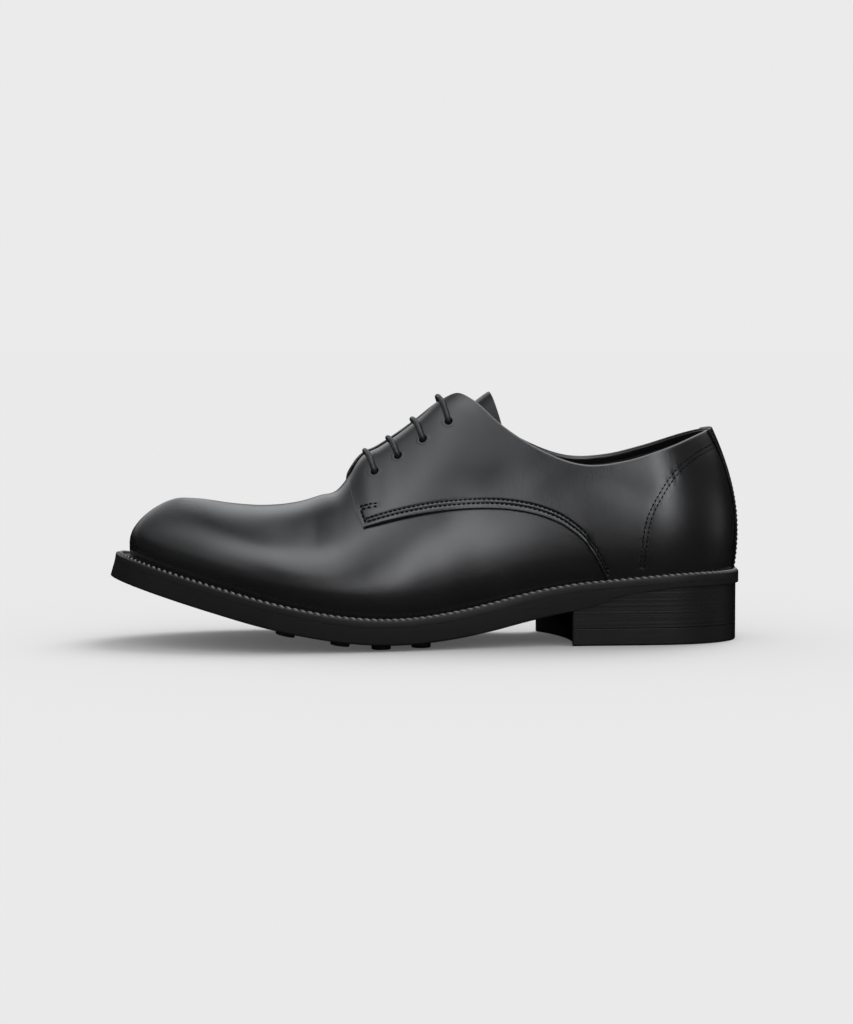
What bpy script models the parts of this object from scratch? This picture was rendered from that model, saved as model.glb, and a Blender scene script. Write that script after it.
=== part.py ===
"""Left derby shoe in black leather on a welted rubber sole.

The upper is worked out by one function from two short tables. The sole's outline and side line
come from the first, the ridge over toe, vamp and instep from the second. Every other piece is a
layer of the same function or a slab under it, so all of them follow the same last.

Lengths are in millimetres and become metres when a mesh is made. "from_heel" runs from the back
of the welt to the toe. In the model the toe points to -Y, the outer side of the foot to +X.
"""

import math

import bmesh
import bpy
import numpy as np
from mathutils import Matrix, Vector

MM = 0.001
CLEAR = 0.3          # left between pieces that touch

# Overall sizes
HEEL_Y = 149.8       # y of the welt's back, half of the shoe's length
PLAN_SHIFT = 0.25    # moves the plan so that the shoe is centred on x = 0
WELT_LENGTH = 297.0  # from the welt's back to its tip
HEEL_ROUND = 45.0    # length over which the plan closes at the heel
TOE_ROUND = 78.0     # length over which the plan closes at the toe
HEEL_POWER = 2.15    # 2 is an ellipse, more is squarer
TOE_POWER = 2.2

# Layers
WELT_THICK = 3.3
UPPER_WALL = 1.8
QUARTER_THICK = 1.3
STRIP_THICK = 1.1
TONGUE_THICK = 1.8
WELT_WIDTH = 10.4    # from its outer edge in
INSOLE_RISE = 3.0    # top of the insole over the welt
INSOLE_INSET = 11.2  # from the welt's outer edge in to the insole

# The spine is the line under the ridge that every rib of the upper leans to
SPINE_HEEL = 36.0
SPINE_TOE = 264.0

LAYER_FOOT = -0.86   # rise at which the outer layers end, just over the welt
BACK_SEAM = 0.012    # turn at which each quarter ends, beside the heel's middle line
STRIP_RIBS = 9       # ribs that the strip over the back seam covers on each side, before it is cut

# Number of ribs on each side, and rows from the feather edge to the opening
RIBS = 40
LOW_ROWS = 2
HIGH_ROWS = 9


def table(columns, *rows):
    """Name the columns of a short table of sections."""
    values = np.array(rows, dtype=float)
    return {name: values[:, index] for index, name in enumerate(columns)}


PLAN = table(
    ("from_heel", "centre", "half_width", "welt_top"),
    (0, 0.0, 34.5, 33.0),
    (30, 0.0, 34.5, 32.8),
    (60, 0.6, 34.8, 30.6),
    (85, 1.4, 34.6, 28.2),
    (105, 2.4, 35.0, 24.6),
    (125, 4.0, 36.4, 19.7),
    (145, 5.2, 40.0, 16.0),
    (165, 4.8, 45.2, 14.2),
    (185, 3.0, 49.8, 14.9),
    (205, 1.0, 52.8, 17.8),
    (225, -0.8, 53.6, 22.2),
    (250, -3.0, 51.6, 29.0),
    (275, -5.0, 48.0, 36.0),
    (297, -6.2, 45.0, 42.4),
)

# inset is from the welt's edge to the upper's widest line, tuck from there in to the feather edge,
# girth the height of the widest line over the welt. A high pinch narrows a section towards its
# ridge, a pinch of 0 is an ellipse, and a crown rounds the ridge.
LAST = table(
    ("from_heel", "inset", "tuck", "girth", "pinch_out", "pinch_in", "crown"),
    (0, 3.4, 1.6, 19.0, 0.83, 0.83, 0.0),
    (12, 3.2, 1.7, 19.0, 0.70, 0.70, 0.0),
    (30, 2.8, 1.9, 19.0, 0.46, 0.44, 0.0),
    (60, 2.6, 1.9, 18.0, 0.34, 0.30, 0.0),
    (90, 2.8, 1.8, 17.0, 0.36, 0.32, 0.08),
    (120, 3.0, 1.6, 16.0, 0.42, 0.38, 0.18),
    (150, 3.2, 1.6, 14.0, 0.49, 0.46, 0.24),
    (180, 3.3, 1.8, 12.0, 0.54, 0.50, 0.20),
    (200, 3.4, 1.8, 11.0, 0.48, 0.44, 0.08),
    (220, 3.6, 1.7, 10.0, 0.30, 0.26, 0.0),
    (245, 4.2, 1.3, 8.0, 0.12, 0.10, 0.0),
    (270, 5.2, 0.6, 6.0, 0.12, 0.12, 0.0),
    (297, 6.4, 0.0, 4.5, 0.25, 0.25, 0.0),
)

# side is the ridge's place in plan, to the outer side of the shoe
RIDGE = table(
    ("from_heel", "height", "side"),
    (0, 140.0, 0.0),
    (60, 139.0, 0.0),
    (100, 132.0, -1.5),
    (122, 126.0, -2.5),
    (134, 120.6, -3.0),
    (144, 113.8, -3.3),
    (153, 105.6, -3.5),
    (163, 97.6, -3.8),
    (172, 91.4, -4.0),
    (180, 87.0, -4.0),
    (186, 78.9, -4.0),
    (192, 71.6, -4.0),
    (200, 69.4, -4.0),
    (210, 66.4, -4.0),
    (225, 64.4, -4.2),
    (240, 65.2, -4.6),
    (258, 67.7, -5.0),
    (266, 68.2, -5.2),
    (297, 68.2, -5.6),
)

# Height of the top edge on each side, where the foot goes in
TOPLINE = table(
    ("from_heel", "outer", "inner"),
    (-10, 103.5, 103.5),
    (13, 101.3, 101.3),
    (21, 98.6, 98.8),
    (42, 91.0, 91.4),
    (61, 85.7, 87.0),
    (78, 84.4, 86.6),
    (99, 91.6, 93.6),
    (117, 103.6, 104.4),
    (128, 114.0, 114.0),
    (135, 118.0, 118.0),
    (141, 118.2, 118.2),
    (147, 120.0, 120.0),
    (170, 140.0, 140.0),
)

# Half width of the gap between the lace facings
FACING_GAP = table(
    ("from_heel", "half_gap"),
    (120, 5.5),
    (150, 4.4),
    (186, 2.6),
    (297, 2.6),
)
THROAT = 176.0       # the upper is closed along its ridge in front of this

# Lower edge of a quarter, from its front corner back to the welt
QUARTER_EDGE = table(
    ("from_heel", "height"),
    (66.5, 27.0),
    (69.7, 34.5),
    (76.8, 46.2),
    (85.8, 54.3),
    (98.5, 60.5),
    (111.6, 63.6),
    (129.0, 64.6),
    (146.4, 63.6),
    (164.0, 61.2),
    (182.5, 57.4),
)

# Front edge of a quarter, from its lower corner up
QUARTER_FRONT = table(
    ("height", "from_heel"),
    (57.4, 182.5),
    (66.0, 185.6),
    (74.0, 187.4),
    (80.0, 187.4),
    (85.0, 184.6),
    (90.0, 176.0),
)

# Front edge of the strip over the back seam
STRIP_EDGE = table(
    ("height", "from_heel"),
    (28.0, 6.2),
    (48.0, 4.6),
    (62.0, 5.2),
    (76.0, 8.2),
    (90.0, 13.2),
    (101.0, 19.0),
    (110.0, 24.0),
)

# How much lower the tongue's ridge lies than the upper's
TONGUE_SAG = table(
    ("from_heel", "sag"),
    (110, 6.0),
    (121, 6.0),
    (130, 8.6),
    (140, 8.6),
    (152, 7.0),
    (165, 5.5),
    (178, 4.0),
    (200, 2.0),
)
TONGUE_CLEAR = 0.6   # between the tongue and the upper's inner face
TONGUE_TIP = 120.6   # from_heel of its free end on the ridge
TONGUE_ROOT = 186.0  # and of its end under the vamp
TONGUE_LEAN = 5.0    # the free end runs this much farther back at its sides
TONGUE_LOW = 0.52    # rise of its side edges
TONGUE_ROWS = 15     # points along the tongue
TONGUE_HALF = 6      # points from a side edge to the ridge

# Sole under the welt: thick to the heel's breast, thin over the heel
SOLE = table(
    ("from_heel", "thick"),
    (0, 2.3),
    (50, 2.9),
    (62, 3.8),
    (74, 6.8),
    (84, 8.2),
    (95, 8.8),
    (120, 8.8),
    (160, 8.2),
    (297, 7.8),
)

# Heel
HEEL_INSET = 1.3       # from the welt's edge in to the heel block
BREAST_OUTER = 84.5    # from_heel of the breast's corner on the outer side
BREAST_INNER = 94.0
BREAST_BOW = 6.0       # hollow of the breast in plan
HEEL_SETTLE = 0.2      # extra room between the block's flat facets and the curved sole
LIFT_THICK = 8.0       # top piece, the part that wears

# Studs under the forepart: rows of round studs on the sole's curved underside
STUD_RADIUS = 4.5
STUD_SIDES = 12
STUD_HEIGHT = 1.9
STUD_ROOT = 1.2      # how deep a stud starts inside the sole
STUDS = table(
    ("from_heel", "side"),
    (268, 11.0),
    (268, -19.0),
    (243, 31.0),
    (243, -2.0),
    (243, -36.0),
    (218, 41.0),
    (218, 13.5),
    (218, -15.0),
    (218, -42.0),
    (193, 42.5),
    (193, 14.5),
    (193, -13.0),
    (193, -38.0),
    (174, 39.0),
    (174, 14.0),
    (174, -10.5),
    (174, -33.0),
    (155, 32.5),
    (155, 4.5),
    (155, -24.0),
)
FLOOR_STUDS = (150.0, 180.0)   # studs between these stand on the floor

# Laces: four bars across the facings, each from an eyelet on one side to its twin
EYELETS = table(
    ("from_heel", "height"),
    (175.0, 80.2),
    (163.9, 87.6),
    (152.2, 95.4),
    (140.2, 103.8),
)
EYELET_RADIUS = 1.9
EYELET_SIDES = 10
PIN_REACH = 5.0      # of the pins that cut the eyelets, to each side of the upper's face
LACE_RADIUS = 1.15
LACE_CLEAR = 0.45    # between a bar and the quarter under it
LACE_CREST = 0.93    # rise to which a bar follows each side before it crosses the gap
LACE_RUN = 4.4       # how far a bar runs towards the toe from its eyelet to the gap
LACE_STEPS = 6


def smooth(source, column, at, key="from_heel"):
    """Read a column at any place by a cubic curve through the table's rows."""
    knots = source[key]
    values = source[column]
    slopes = np.gradient(values, knots)
    at = np.clip(at, knots[0], knots[-1])
    left = np.clip(np.searchsorted(knots, at, side="right") - 1, 0, len(knots) - 2)
    width = knots[left + 1] - knots[left]
    part = (at - knots[left]) / width
    rest = 1 - part
    return (values[left] * (1 + 2 * part) * rest ** 2
            + slopes[left] * width * part * rest ** 2
            + values[left + 1] * (3 - 2 * part) * part ** 2
            - slopes[left + 1] * width * rest * part ** 2)


def rim(turn):
    """Plan of the welt's edge: turn 0 is the heel's back, pi the toe, and between lies the outer side."""
    from_heel = WELT_LENGTH * (1 - np.cos(turn)) / 2
    heel = np.clip(1 - from_heel / HEEL_ROUND, 0, 1)
    toe = np.clip(1 - (WELT_LENGTH - from_heel) / TOE_ROUND, 0, 1)
    ends = (1 - heel ** HEEL_POWER) ** (1 / HEEL_POWER) * (1 - toe ** TOE_POWER) ** (1 / TOE_POWER)
    half = smooth(PLAN, "half_width", from_heel) * ends
    return from_heel, smooth(PLAN, "centre", from_heel) + np.sign(np.sin(turn)) * half


def inset_rim(turn, inset):
    """The welt's edge moved in by a distance square to it."""
    step = 0.002
    from_heel, side = rim(turn)
    ahead = rim(turn + step)
    behind = rim(turn - step)
    along_heel = ahead[0] - behind[0]
    along_side = ahead[1] - behind[1]
    size = np.hypot(along_heel, along_side)
    return from_heel + inset * along_side / size, side - inset * along_heel / size


def place(from_heel, side, height):
    """Points of the model, in millimetres, from a place along, across and above."""
    return np.stack(np.broadcast_arrays(side + PLAN_SHIFT, HEEL_Y - from_heel, height), axis=-1)


def rib(turn, rise, sag=0.0):
    """Upper's outer face: rise -1 is the feather edge, 0 the widest line and 1 the ridge.

    In plan a rib runs from the widest line to the spine. Its reach falls as the cosine of the
    rise, pinched by the square of the sine, while its height follows the sine to the ridge. The
    crown widens the last part of the reach, and a sag lowers and rounds the ridge.
    """
    at = WELT_LENGTH * (1 - np.cos(turn)) / 2
    rim_heel, rim_side = inset_rim(turn, smooth(LAST, "inset", at))
    spine_heel = SPINE_HEEL + (SPINE_TOE - SPINE_HEEL) * at / WELT_LENGTH
    spine_side = smooth(RIDGE, "side", spine_heel)
    span = np.hypot(rim_heel - spine_heel, rim_side - spine_side)
    angle = np.clip(rise, 0, 1) * math.pi / 2
    outer = np.sin(turn) >= 0
    pinch = np.where(outer, smooth(LAST, "pinch_out", at), smooth(LAST, "pinch_in", at))
    reach = np.cos(angle) * (1 - pinch * np.sin(angle) ** 2 + smooth(LAST, "crown", at) * np.sin(angle) ** 8)
    reach = reach - smooth(LAST, "tuck", at) * np.clip(-rise, 0, 1) ** 2 / span
    from_heel = spine_heel + (rim_heel - spine_heel) * reach
    side = spine_side + (rim_side - spine_side) * reach
    widest = smooth(PLAN, "welt_top", at) + smooth(LAST, "girth", at)
    feather = smooth(PLAN, "welt_top", from_heel) + CLEAR
    height = np.where(rise < 0, widest + (widest - feather) * rise,
                      widest + (smooth(RIDGE, "height", from_heel) - widest) * np.sin(angle))
    return from_heel, side, height - sag * np.sin(angle) ** 6, reach * span


def turn_at(from_heel, rise, side):
    """Turn of the rib that passes a place along the shoe at a rise, as ribs lean to the spine."""
    at = from_heel + 0.0 * rise
    for _ in range(8):
        turn = side * np.arccos(1 - 2 * np.clip(at, 0.5, WELT_LENGTH - 0.5) / WELT_LENGTH)
        at = at + from_heel - rib(turn, rise)[0]
    return turn


def skin(turn, rise, out=0.0, sag=0.0):
    """Points at a distance out from the upper's outer face, square to it."""
    step = 0.004
    low = np.minimum(rise + step, 1.0)
    across = place(*rib(turn + step, rise, sag)[:3]) - place(*rib(turn - step, rise, sag)[:3])
    upward = place(*rib(turn, low, sag)[:3]) - place(*rib(turn, low - 2 * step, sag)[:3])
    normal = np.cross(upward, across)
    normal /= np.linalg.norm(normal, axis=-1, keepdims=True) + 1e-12
    return place(*rib(turn, rise, sag)[:3]) + normal * out


def opening_rise(turn):
    """Rise at which each rib meets the top line or the edge of its lace facing."""
    rises = np.linspace(0, 1, 241)[None, :]
    turn = turn[:, None]
    from_heel, side, height, from_spine = rib(turn, rises)
    top = np.where(np.sin(turn) >= 0, smooth(TOPLINE, "outer", from_heel),
                   smooth(TOPLINE, "inner", from_heel))
    room = np.minimum(top - height, from_spine - smooth(FACING_GAP, "half_gap", from_heel))
    first = np.argmax(room < 0, axis=1)
    rows = np.arange(len(first))
    before = room[rows, first - 1]
    after = room[rows, first]
    return rises[0, first - 1] + (rises[0, 1] - rises[0, 0]) * before / (before - after)


def rib_grid(turns, foot=-1.0):
    """Turn and rise of every grid point of a stretch of ribs, from a lowest rise to the opening."""
    low = np.linspace(foot, 0, LOW_ROWS + 1)[:-1]
    high = np.linspace(0, 1, HIGH_ROWS + 1)
    rise = np.concatenate([np.tile(low, (len(turns), 1)), opening_rise(turns)[:, None] * high], axis=1)
    return np.broadcast_to(turns[:, None], rise.shape), rise


def ladder(rows, columns, closed):
    """Triangles of a grid whose points are stored row by row."""
    last = rows if closed else rows - 1
    faces = []
    for row in range(last):
        after = (row + 1) % rows
        for column in range(columns - 1):
            a = row * columns + column
            b = after * columns + column
            faces += [(a, a + 1, b), (a + 1, b + 1, b)]
    return faces


def make(name, points, faces, finish, home):
    """A mesh object from points in millimetres, welded, with its faces turned outwards."""
    mesh = bpy.data.meshes.new(name)
    mesh.from_pydata((np.asarray(points) * MM).tolist(), [], faces)
    weld = bmesh.new()
    weld.from_mesh(mesh)
    bmesh.ops.remove_doubles(weld, verts=weld.verts, dist=0.00001)
    bmesh.ops.dissolve_degenerate(weld, edges=weld.edges, dist=0.00001)
    bmesh.ops.recalc_face_normals(weld, faces=weld.faces)
    weld.to_mesh(mesh)
    weld.free()
    mesh.materials.append(finish)
    thing = bpy.data.objects.new(name, mesh)
    home.objects.link(thing)
    return thing


def slab(name, top, bottom, finish, home):
    """Closed solid between two grids of points of the same size."""
    rows, columns = top.shape[:2]
    faces = ladder(rows, columns, closed=False)
    lower = rows * columns
    faces += [(a + lower, c + lower, b + lower) for a, b, c in faces]
    edge = [row * columns for row in range(rows)]
    edge += [(rows - 1) * columns + column for column in range(1, columns)]
    edge += [row * columns + columns - 1 for row in range(rows - 2, -1, -1)]
    edge += [column for column in range(columns - 2, 0, -1)]
    for here, there in zip(edge, edge[1:] + edge[:1]):
        faces.append((here, there, there + lower, here + lower))
    points = np.concatenate([top.reshape(-1, 3), bottom.reshape(-1, 3)])
    return make(name, points, faces, finish, home)


def thicken(thing, thickness, outwards):
    """Give an open surface a wall."""
    wall = thing.modifiers.new("Wall", "SOLIDIFY")
    wall.thickness = thickness * MM
    wall.offset = 1.0 if outwards else -1.0
    wall.use_quality_normals = True


def combine(thing, other, operation):
    """Cut, keep or join with another object."""
    step = thing.modifiers.new(operation.title(), "BOOLEAN")
    step.operation = operation
    step.object = other
    step.solver = "EXACT"


def guide(thing):
    """Mark an object as a cutter."""
    thing.hide_render = True
    thing.display_type = "WIRE"
    return thing


def prism(name, outline, home, finish):
    """Solid with one outline in side view, wide enough to cut through the shoe."""
    reach = 80.0
    outline = np.asarray(outline)
    near = place(outline[:, 0], reach, outline[:, 1])
    far = place(outline[:, 0], -reach, outline[:, 1])
    count = len(outline)
    faces = [tuple(range(count)), tuple(range(2 * count - 1, count - 1, -1))]
    faces += [(k, (k + 1) % count, (k + 1) % count + count, k + count) for k in range(count)]
    return guide(make(name, np.concatenate([near, far]), faces, finish, home))


def finish(name, colour, roughness):
    """Principled material of one piece."""
    made = bpy.data.materials.new(name)
    made.use_nodes = True
    shader = made.node_tree.nodes["Principled BSDF"]
    shader.inputs["Base Color"].default_value = (*colour, 1.0)
    shader.inputs["Roughness"].default_value = roughness
    shader.inputs["Metallic"].default_value = 0.0
    made.diffuse_color = (*colour, 1.0)
    return made


def welt_slope(from_heel):
    """Rise of the welt's top face for each millimetre towards the toe."""
    step = 0.5
    ahead = smooth(PLAN, "welt_top", from_heel + step)
    behind = smooth(PLAN, "welt_top", from_heel - step)
    return (ahead - behind) / (2 * step)


def sole_point(turn, inset, depth):
    """Point at a depth under the welt's top face, measured square to the sole's side line."""
    from_heel, side = inset_rim(turn, inset)
    slope = welt_slope(from_heel)
    size = np.hypot(slope, 1)
    return place(from_heel + depth * slope / size, side,
                 smooth(PLAN, "welt_top", from_heel) - depth / size)


def pegs(name, ends, radius, sides, home, finish):
    """Round pegs as one cutter, each from a low end to a high one."""
    mesh = bpy.data.meshes.new(name)
    shape = bmesh.new()
    for low, high in ends:
        low = Vector(low) * MM
        high = Vector(high) * MM
        turned = (high - low).to_track_quat("Z", "Y").to_matrix().to_4x4()
        bmesh.ops.create_cone(shape, cap_ends=True, segments=sides, radius1=radius * MM, radius2=radius * MM,
                              depth=(high - low).length, matrix=Matrix.Translation((low + high) / 2) @ turned)
    shape.to_mesh(mesh)
    shape.free()
    mesh.materials.append(finish)
    thing = bpy.data.objects.new(name, mesh)
    home.objects.link(thing)
    return guide(thing)


def sole_rungs(inset, depth, turns):
    """Pairs of points, outer and inner side, that span the sole from heel to toe."""
    return np.stack([sole_point(turns, inset, depth), sole_point(-turns, inset, depth)], axis=1)


def all_turns():
    """Turns of the ribs of one side, from the heel's back to the toe."""
    return np.linspace(0, math.pi, RIBS + 1)


def upper(home, leather):
    """One hollow wall from the feather edge to the top line, closed along the ridge in front."""
    turns = np.linspace(0, 2 * math.pi, 2 * RIBS, endpoint=False)
    turn, rise = rib_grid(turns)
    columns = rise.shape[1]
    points = skin(turn, rise).reshape(-1, 3)
    faces = ladder(2 * RIBS, columns, closed=True)
    at = WELT_LENGTH * (1 - np.cos(turns[:RIBS + 1])) / 2
    spine = SPINE_HEEL + (SPINE_TOE - SPINE_HEEL) * at / WELT_LENGTH
    closed = [k for k in range(RIBS + 1) if spine[k] > THROAT]
    ridge_start = len(points)
    points = np.concatenate([points, place(*rib(turns[closed], np.ones(len(closed)))[:3])])
    top = columns - 1
    for index, k in enumerate(closed[:-1]):
        here = ridge_start + index
        outer = k * columns + top
        inner = (2 * RIBS - k) % (2 * RIBS) * columns + top
        outer_next = (k + 1) * columns + top
        inner_next = (2 * RIBS - k - 1) * columns + top
        faces += [(here, here + 1, outer), (outer, here + 1, outer_next)]
        faces += [(here, inner, here + 1), (inner, inner_next, here + 1)]
    thing = make("upper", points, faces, leather, home)
    thicken(thing, UPPER_WALL, outwards=False)
    return thing


def layer(name, turns, out, thickness, home, leather):
    """A larger form outside the upper, on the upper's own ribs."""
    turn, rise = rib_grid(turns, LAYER_FOOT)
    points = skin(turn, rise, out).reshape(-1, 3)
    thing = make(name, points, ladder(len(turns), rise.shape[1], closed=False), leather, home)
    thicken(thing, thickness, outwards=True)
    return thing


def quarters(home, cutters, leather, guide_finish):
    """Outer and inner quarter, each cut from a layer over the upper by its outline in side view."""
    edge = [(at, smooth(QUARTER_EDGE, "height", at)) for at in np.linspace(66.5, 182.5, 25)]
    heights = np.linspace(57.4, 90.0, 9)[1:]
    front = [(smooth(QUARTER_FRONT, "from_heel", z, key="height"), z) for z in heights]
    outline = edge + front + [(176.0, 150.0), (-20.0, 150.0), (-20.0, 20.0), (66.5, 20.0)]
    cutter = prism("quarter_outline", outline, cutters, guide_finish)
    turns = all_turns()
    turns[0] = BACK_SEAM
    made = []
    for name, side in (("quarter_lateral", 1), ("quarter_medial", -1)):
        thing = layer(name, turns[:-1] * side, CLEAR, QUARTER_THICK, home, leather)
        combine(thing, cutter, "INTERSECT")
        made.append(thing)
    return made


def back_strip(home, cutters, leather, guide_finish):
    """Strip over the back seam, outside both quarters."""
    heights = np.linspace(28.0, 110.0, 12)
    edge = [(smooth(STRIP_EDGE, "from_heel", z, key="height"), z) for z in heights]
    cutter = prism("strip_outline", edge + [(-20.0, 110.0), (-20.0, 28.0)], cutters, guide_finish)
    turns = np.arange(-STRIP_RIBS, STRIP_RIBS + 1) * math.pi / RIBS
    out = 2 * CLEAR + QUARTER_THICK
    thing = layer("back_strip", turns, out, STRIP_THICK, home, leather)
    combine(thing, cutter, "INTERSECT")
    return thing


def tongue(home, leather):
    """Curved sheet under the facings, from under the vamp to its free end over the collar."""
    lengths = np.linspace(TONGUE_ROOT, TONGUE_TIP, TONGUE_ROWS)
    rises = np.linspace(TONGUE_LOW, 1, TONGUE_HALF)
    rise = np.concatenate([rises, rises[-2::-1]])
    sides = np.concatenate([np.ones(TONGUE_HALF), -np.ones(TONGUE_HALF - 1)])
    back = (TONGUE_ROOT - lengths) / (TONGUE_ROOT - TONGUE_TIP)
    fall = (1 - np.sin(rise * math.pi / 2)) / (1 - math.sin(TONGUE_LOW * math.pi / 2))
    along = lengths[:, None] - TONGUE_LEAN * back[:, None] * fall[None, :]
    rise = np.broadcast_to(rise, along.shape)
    turn = turn_at(along, rise, sides[None, :])
    points = skin(turn, rise, -UPPER_WALL - TONGUE_CLEAR, smooth(TONGUE_SAG, "sag", along)).reshape(-1, 3)
    thing = make("tongue", points, ladder(*along.shape, closed=False), leather, home)
    thicken(thing, TONGUE_THICK, outwards=False)
    return thing


def insole(home, board):
    """Pad inside the upper, on the sole and inside the welt."""
    turns = all_turns()[1:-1]
    top = sole_rungs(INSOLE_INSET, -INSOLE_RISE, turns)
    bottom = sole_rungs(INSOLE_INSET, WELT_THICK, turns)
    return slab("insole", top, bottom, board, home)


def welt(home, leather):
    """Strip between upper and sole, its outer edge flush with the sole's."""
    turns = np.linspace(0, 2 * math.pi, 2 * RIBS, endpoint=False)
    corners = [(0.0, 0.0), (0.0, WELT_THICK), (WELT_WIDTH, WELT_THICK), (WELT_WIDTH, 0.0)]
    points = np.stack([sole_point(turns, inset, depth) for inset, depth in corners + corners[:1]], axis=1)
    faces = ladder(2 * RIBS, len(corners) + 1, closed=True)
    return make("welt", points.reshape(-1, 3), faces, leather, home)


def studs(cutters, rubber):
    """Round studs, upright where the forepart stands and square to the sole elsewhere."""
    ends = []
    for at, side in zip(STUDS["from_heel"], STUDS["side"]):
        slope = welt_slope(at)
        under = (WELT_THICK + CLEAR + smooth(SOLE, "thick", at)) * math.hypot(slope, 1)
        bottom = smooth(PLAN, "welt_top", at) - under
        if FLOOR_STUDS[0] <= at <= FLOOR_STUDS[1]:
            low = place(at, side, 0.0)
            high = place(at, side, bottom + STUD_ROOT)
        else:
            low = place(at + STUD_HEIGHT * slope, side, bottom - STUD_HEIGHT)
            high = place(at - STUD_ROOT * slope, side, bottom + STUD_ROOT)
        ends.append((low, high))
    return pegs("studs", ends, STUD_RADIUS, STUD_SIDES, cutters, rubber)


def outsole(home, cutters, rubber):
    """Sole under the welt with its arch, toe spring and studs."""
    turns = all_turns()
    from_heel = rim(turns)[0]
    start = WELT_THICK + CLEAR
    top = sole_rungs(0.0, start, turns)
    bottom = sole_rungs(0.0, start + smooth(SOLE, "thick", from_heel), turns)
    thing = slab("outsole", top, bottom, rubber, home)
    combine(thing, studs(cutters, rubber), "UNION")
    return thing


def heel_plan():
    """Plan of the heel: rows from its back to the hollow breast, columns from outer to inner side."""
    rows = 15
    across = np.linspace(0, 1, 7)
    outer_end = math.acos(1 - 2 * BREAST_OUTER / WELT_LENGTH)
    inner_end = math.acos(1 - 2 * BREAST_INNER / WELT_LENGTH)
    along = np.linspace(0, 1, rows)
    outer = np.stack(inset_rim(along * outer_end, HEEL_INSET), axis=-1)
    inner = np.stack(inset_rim(-along * inner_end, HEEL_INSET), axis=-1)
    plan = outer[:, None, :] * (1 - across)[None, :, None] + inner[:, None, :] * across[None, :, None]
    plan[..., 0] -= BREAST_BOW * along[:, None] ** 3 * (1 - (2 * across[None, :] - 1) ** 2)
    return plan[..., 0], plan[..., 1]


def heel(home, block, rubber):
    """Heel block under the sole and its top piece on the floor."""
    from_heel, side = heel_plan()
    under = WELT_THICK + 2 * CLEAR + smooth(SOLE, "thick", from_heel)
    roof = smooth(PLAN, "welt_top", from_heel) - under * np.hypot(welt_slope(from_heel), 1) - HEEL_SETTLE
    block_foot = place(from_heel, side, LIFT_THICK + CLEAR)
    slab("heel_block", place(from_heel, side, roof), block_foot, block, home)
    slab("top_lift", place(from_heel, side, LIFT_THICK), place(from_heel, side, 0.0), rubber, home)


def find_on_upper(from_heel, height, side):
    """Turn and rise of the upper's point at a place along the shoe and a height, on one side."""
    rises = np.linspace(0.2, 0.98, 400)
    turns = turn_at(from_heel, rises, side)
    nearest = int(np.argmin(np.abs(rib(turns, rises)[2] - height)))
    return turns[nearest], rises[nearest]


def eyelet_pins(cutters, finish):
    """Pins square to the facing at each eyelet, for the lace holes."""
    ends = []
    for at, height in zip(EYELETS["from_heel"], EYELETS["height"]):
        for side in (1, -1):
            turn, rise = find_on_upper(at, height, side)
            inside = skin(np.array([turn]), np.array([rise]), -PIN_REACH)[0]
            outside = skin(np.array([turn]), np.array([rise]), PIN_REACH)[0]
            ends.append((inside, outside))
    return pegs("eyelet_pins", ends, EYELET_RADIUS, EYELET_SIDES, cutters, finish)


def lace_route(from_heel, height):
    """Points of one lace bar: up the outer facing from its eyelet, over the gap and down to its twin."""
    over = CLEAR + QUARTER_THICK + LACE_CLEAR + LACE_RADIUS
    route = []
    for side, shares in ((1, np.linspace(0, 1, LACE_STEPS)), (-1, np.linspace(1, 0, LACE_STEPS))):
        turn, rise = find_on_upper(from_heel, height, side)
        rises = rise + (LACE_CREST - rise) * shares
        turns = turn_at(from_heel + LACE_RUN * shares, rises, side)
        route.append(skin(turns, rises, over))
    return np.concatenate(route)


def lace_bars(home, cord):
    """Four straight bars over the facings, each ending above its eyelets."""
    for number, (at, height) in enumerate(zip(EYELETS["from_heel"], EYELETS["height"]), start=1):
        route = lace_route(at, height)
        curve = bpy.data.curves.new(f"lace_bar_{number}", "CURVE")
        curve.dimensions = "3D"
        curve.bevel_depth = LACE_RADIUS * MM
        curve.bevel_resolution = 2
        curve.use_fill_caps = True
        line = curve.splines.new("POLY")
        line.points.add(len(route) - 1)
        for point, spot in zip(line.points, route):
            point.co = (*(spot * MM), 1.0)
        curve.materials.append(cord)
        home.objects.link(bpy.data.objects.new(f"lace_bar_{number}", curve))


def build():
    """Clear the scene and make every piece."""
    for old in list(bpy.data.objects):
        bpy.data.objects.remove(old)
    home = bpy.data.collections.new("derby_shoe")
    cutters = bpy.data.collections.new("cutters")
    for collection in (home, cutters):
        bpy.context.scene.collection.children.link(collection)
    leather = finish("black_leather", (0.018, 0.018, 0.020), 0.35)
    quarter_leather = finish("quarter_leather", (0.018, 0.018, 0.020), 0.35)
    strip_leather = finish("strip_leather", (0.018, 0.018, 0.020), 0.35)
    tongue_leather = finish("tongue_leather", (0.020, 0.020, 0.022), 0.45)
    board = finish("insole_leather", (0.030, 0.028, 0.026), 0.60)
    rand = finish("welt_leather", (0.030, 0.030, 0.032), 0.50)
    rubber = finish("sole_rubber", (0.015, 0.015, 0.016), 0.60)
    block = finish("heel_leather", (0.016, 0.016, 0.017), 0.50)
    lift_rubber = finish("lift_rubber", (0.012, 0.012, 0.012), 0.65)
    cord = finish("waxed_cord", (0.020, 0.020, 0.021), 0.55)
    guide_finish = finish("guide", (0.5, 0.5, 0.5), 0.5)

    pins = eyelet_pins(cutters, guide_finish)
    combine(upper(home, leather), pins, "DIFFERENCE")
    for quarter in quarters(home, cutters, quarter_leather, guide_finish):
        combine(quarter, pins, "DIFFERENCE")
    back_strip(home, cutters, strip_leather, guide_finish)
    tongue(home, tongue_leather)
    insole(home, board)
    welt(home, rand)
    outsole(home, cutters, rubber)
    heel(home, block, lift_rubber)
    lace_bars(home, cord)


build()
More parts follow.
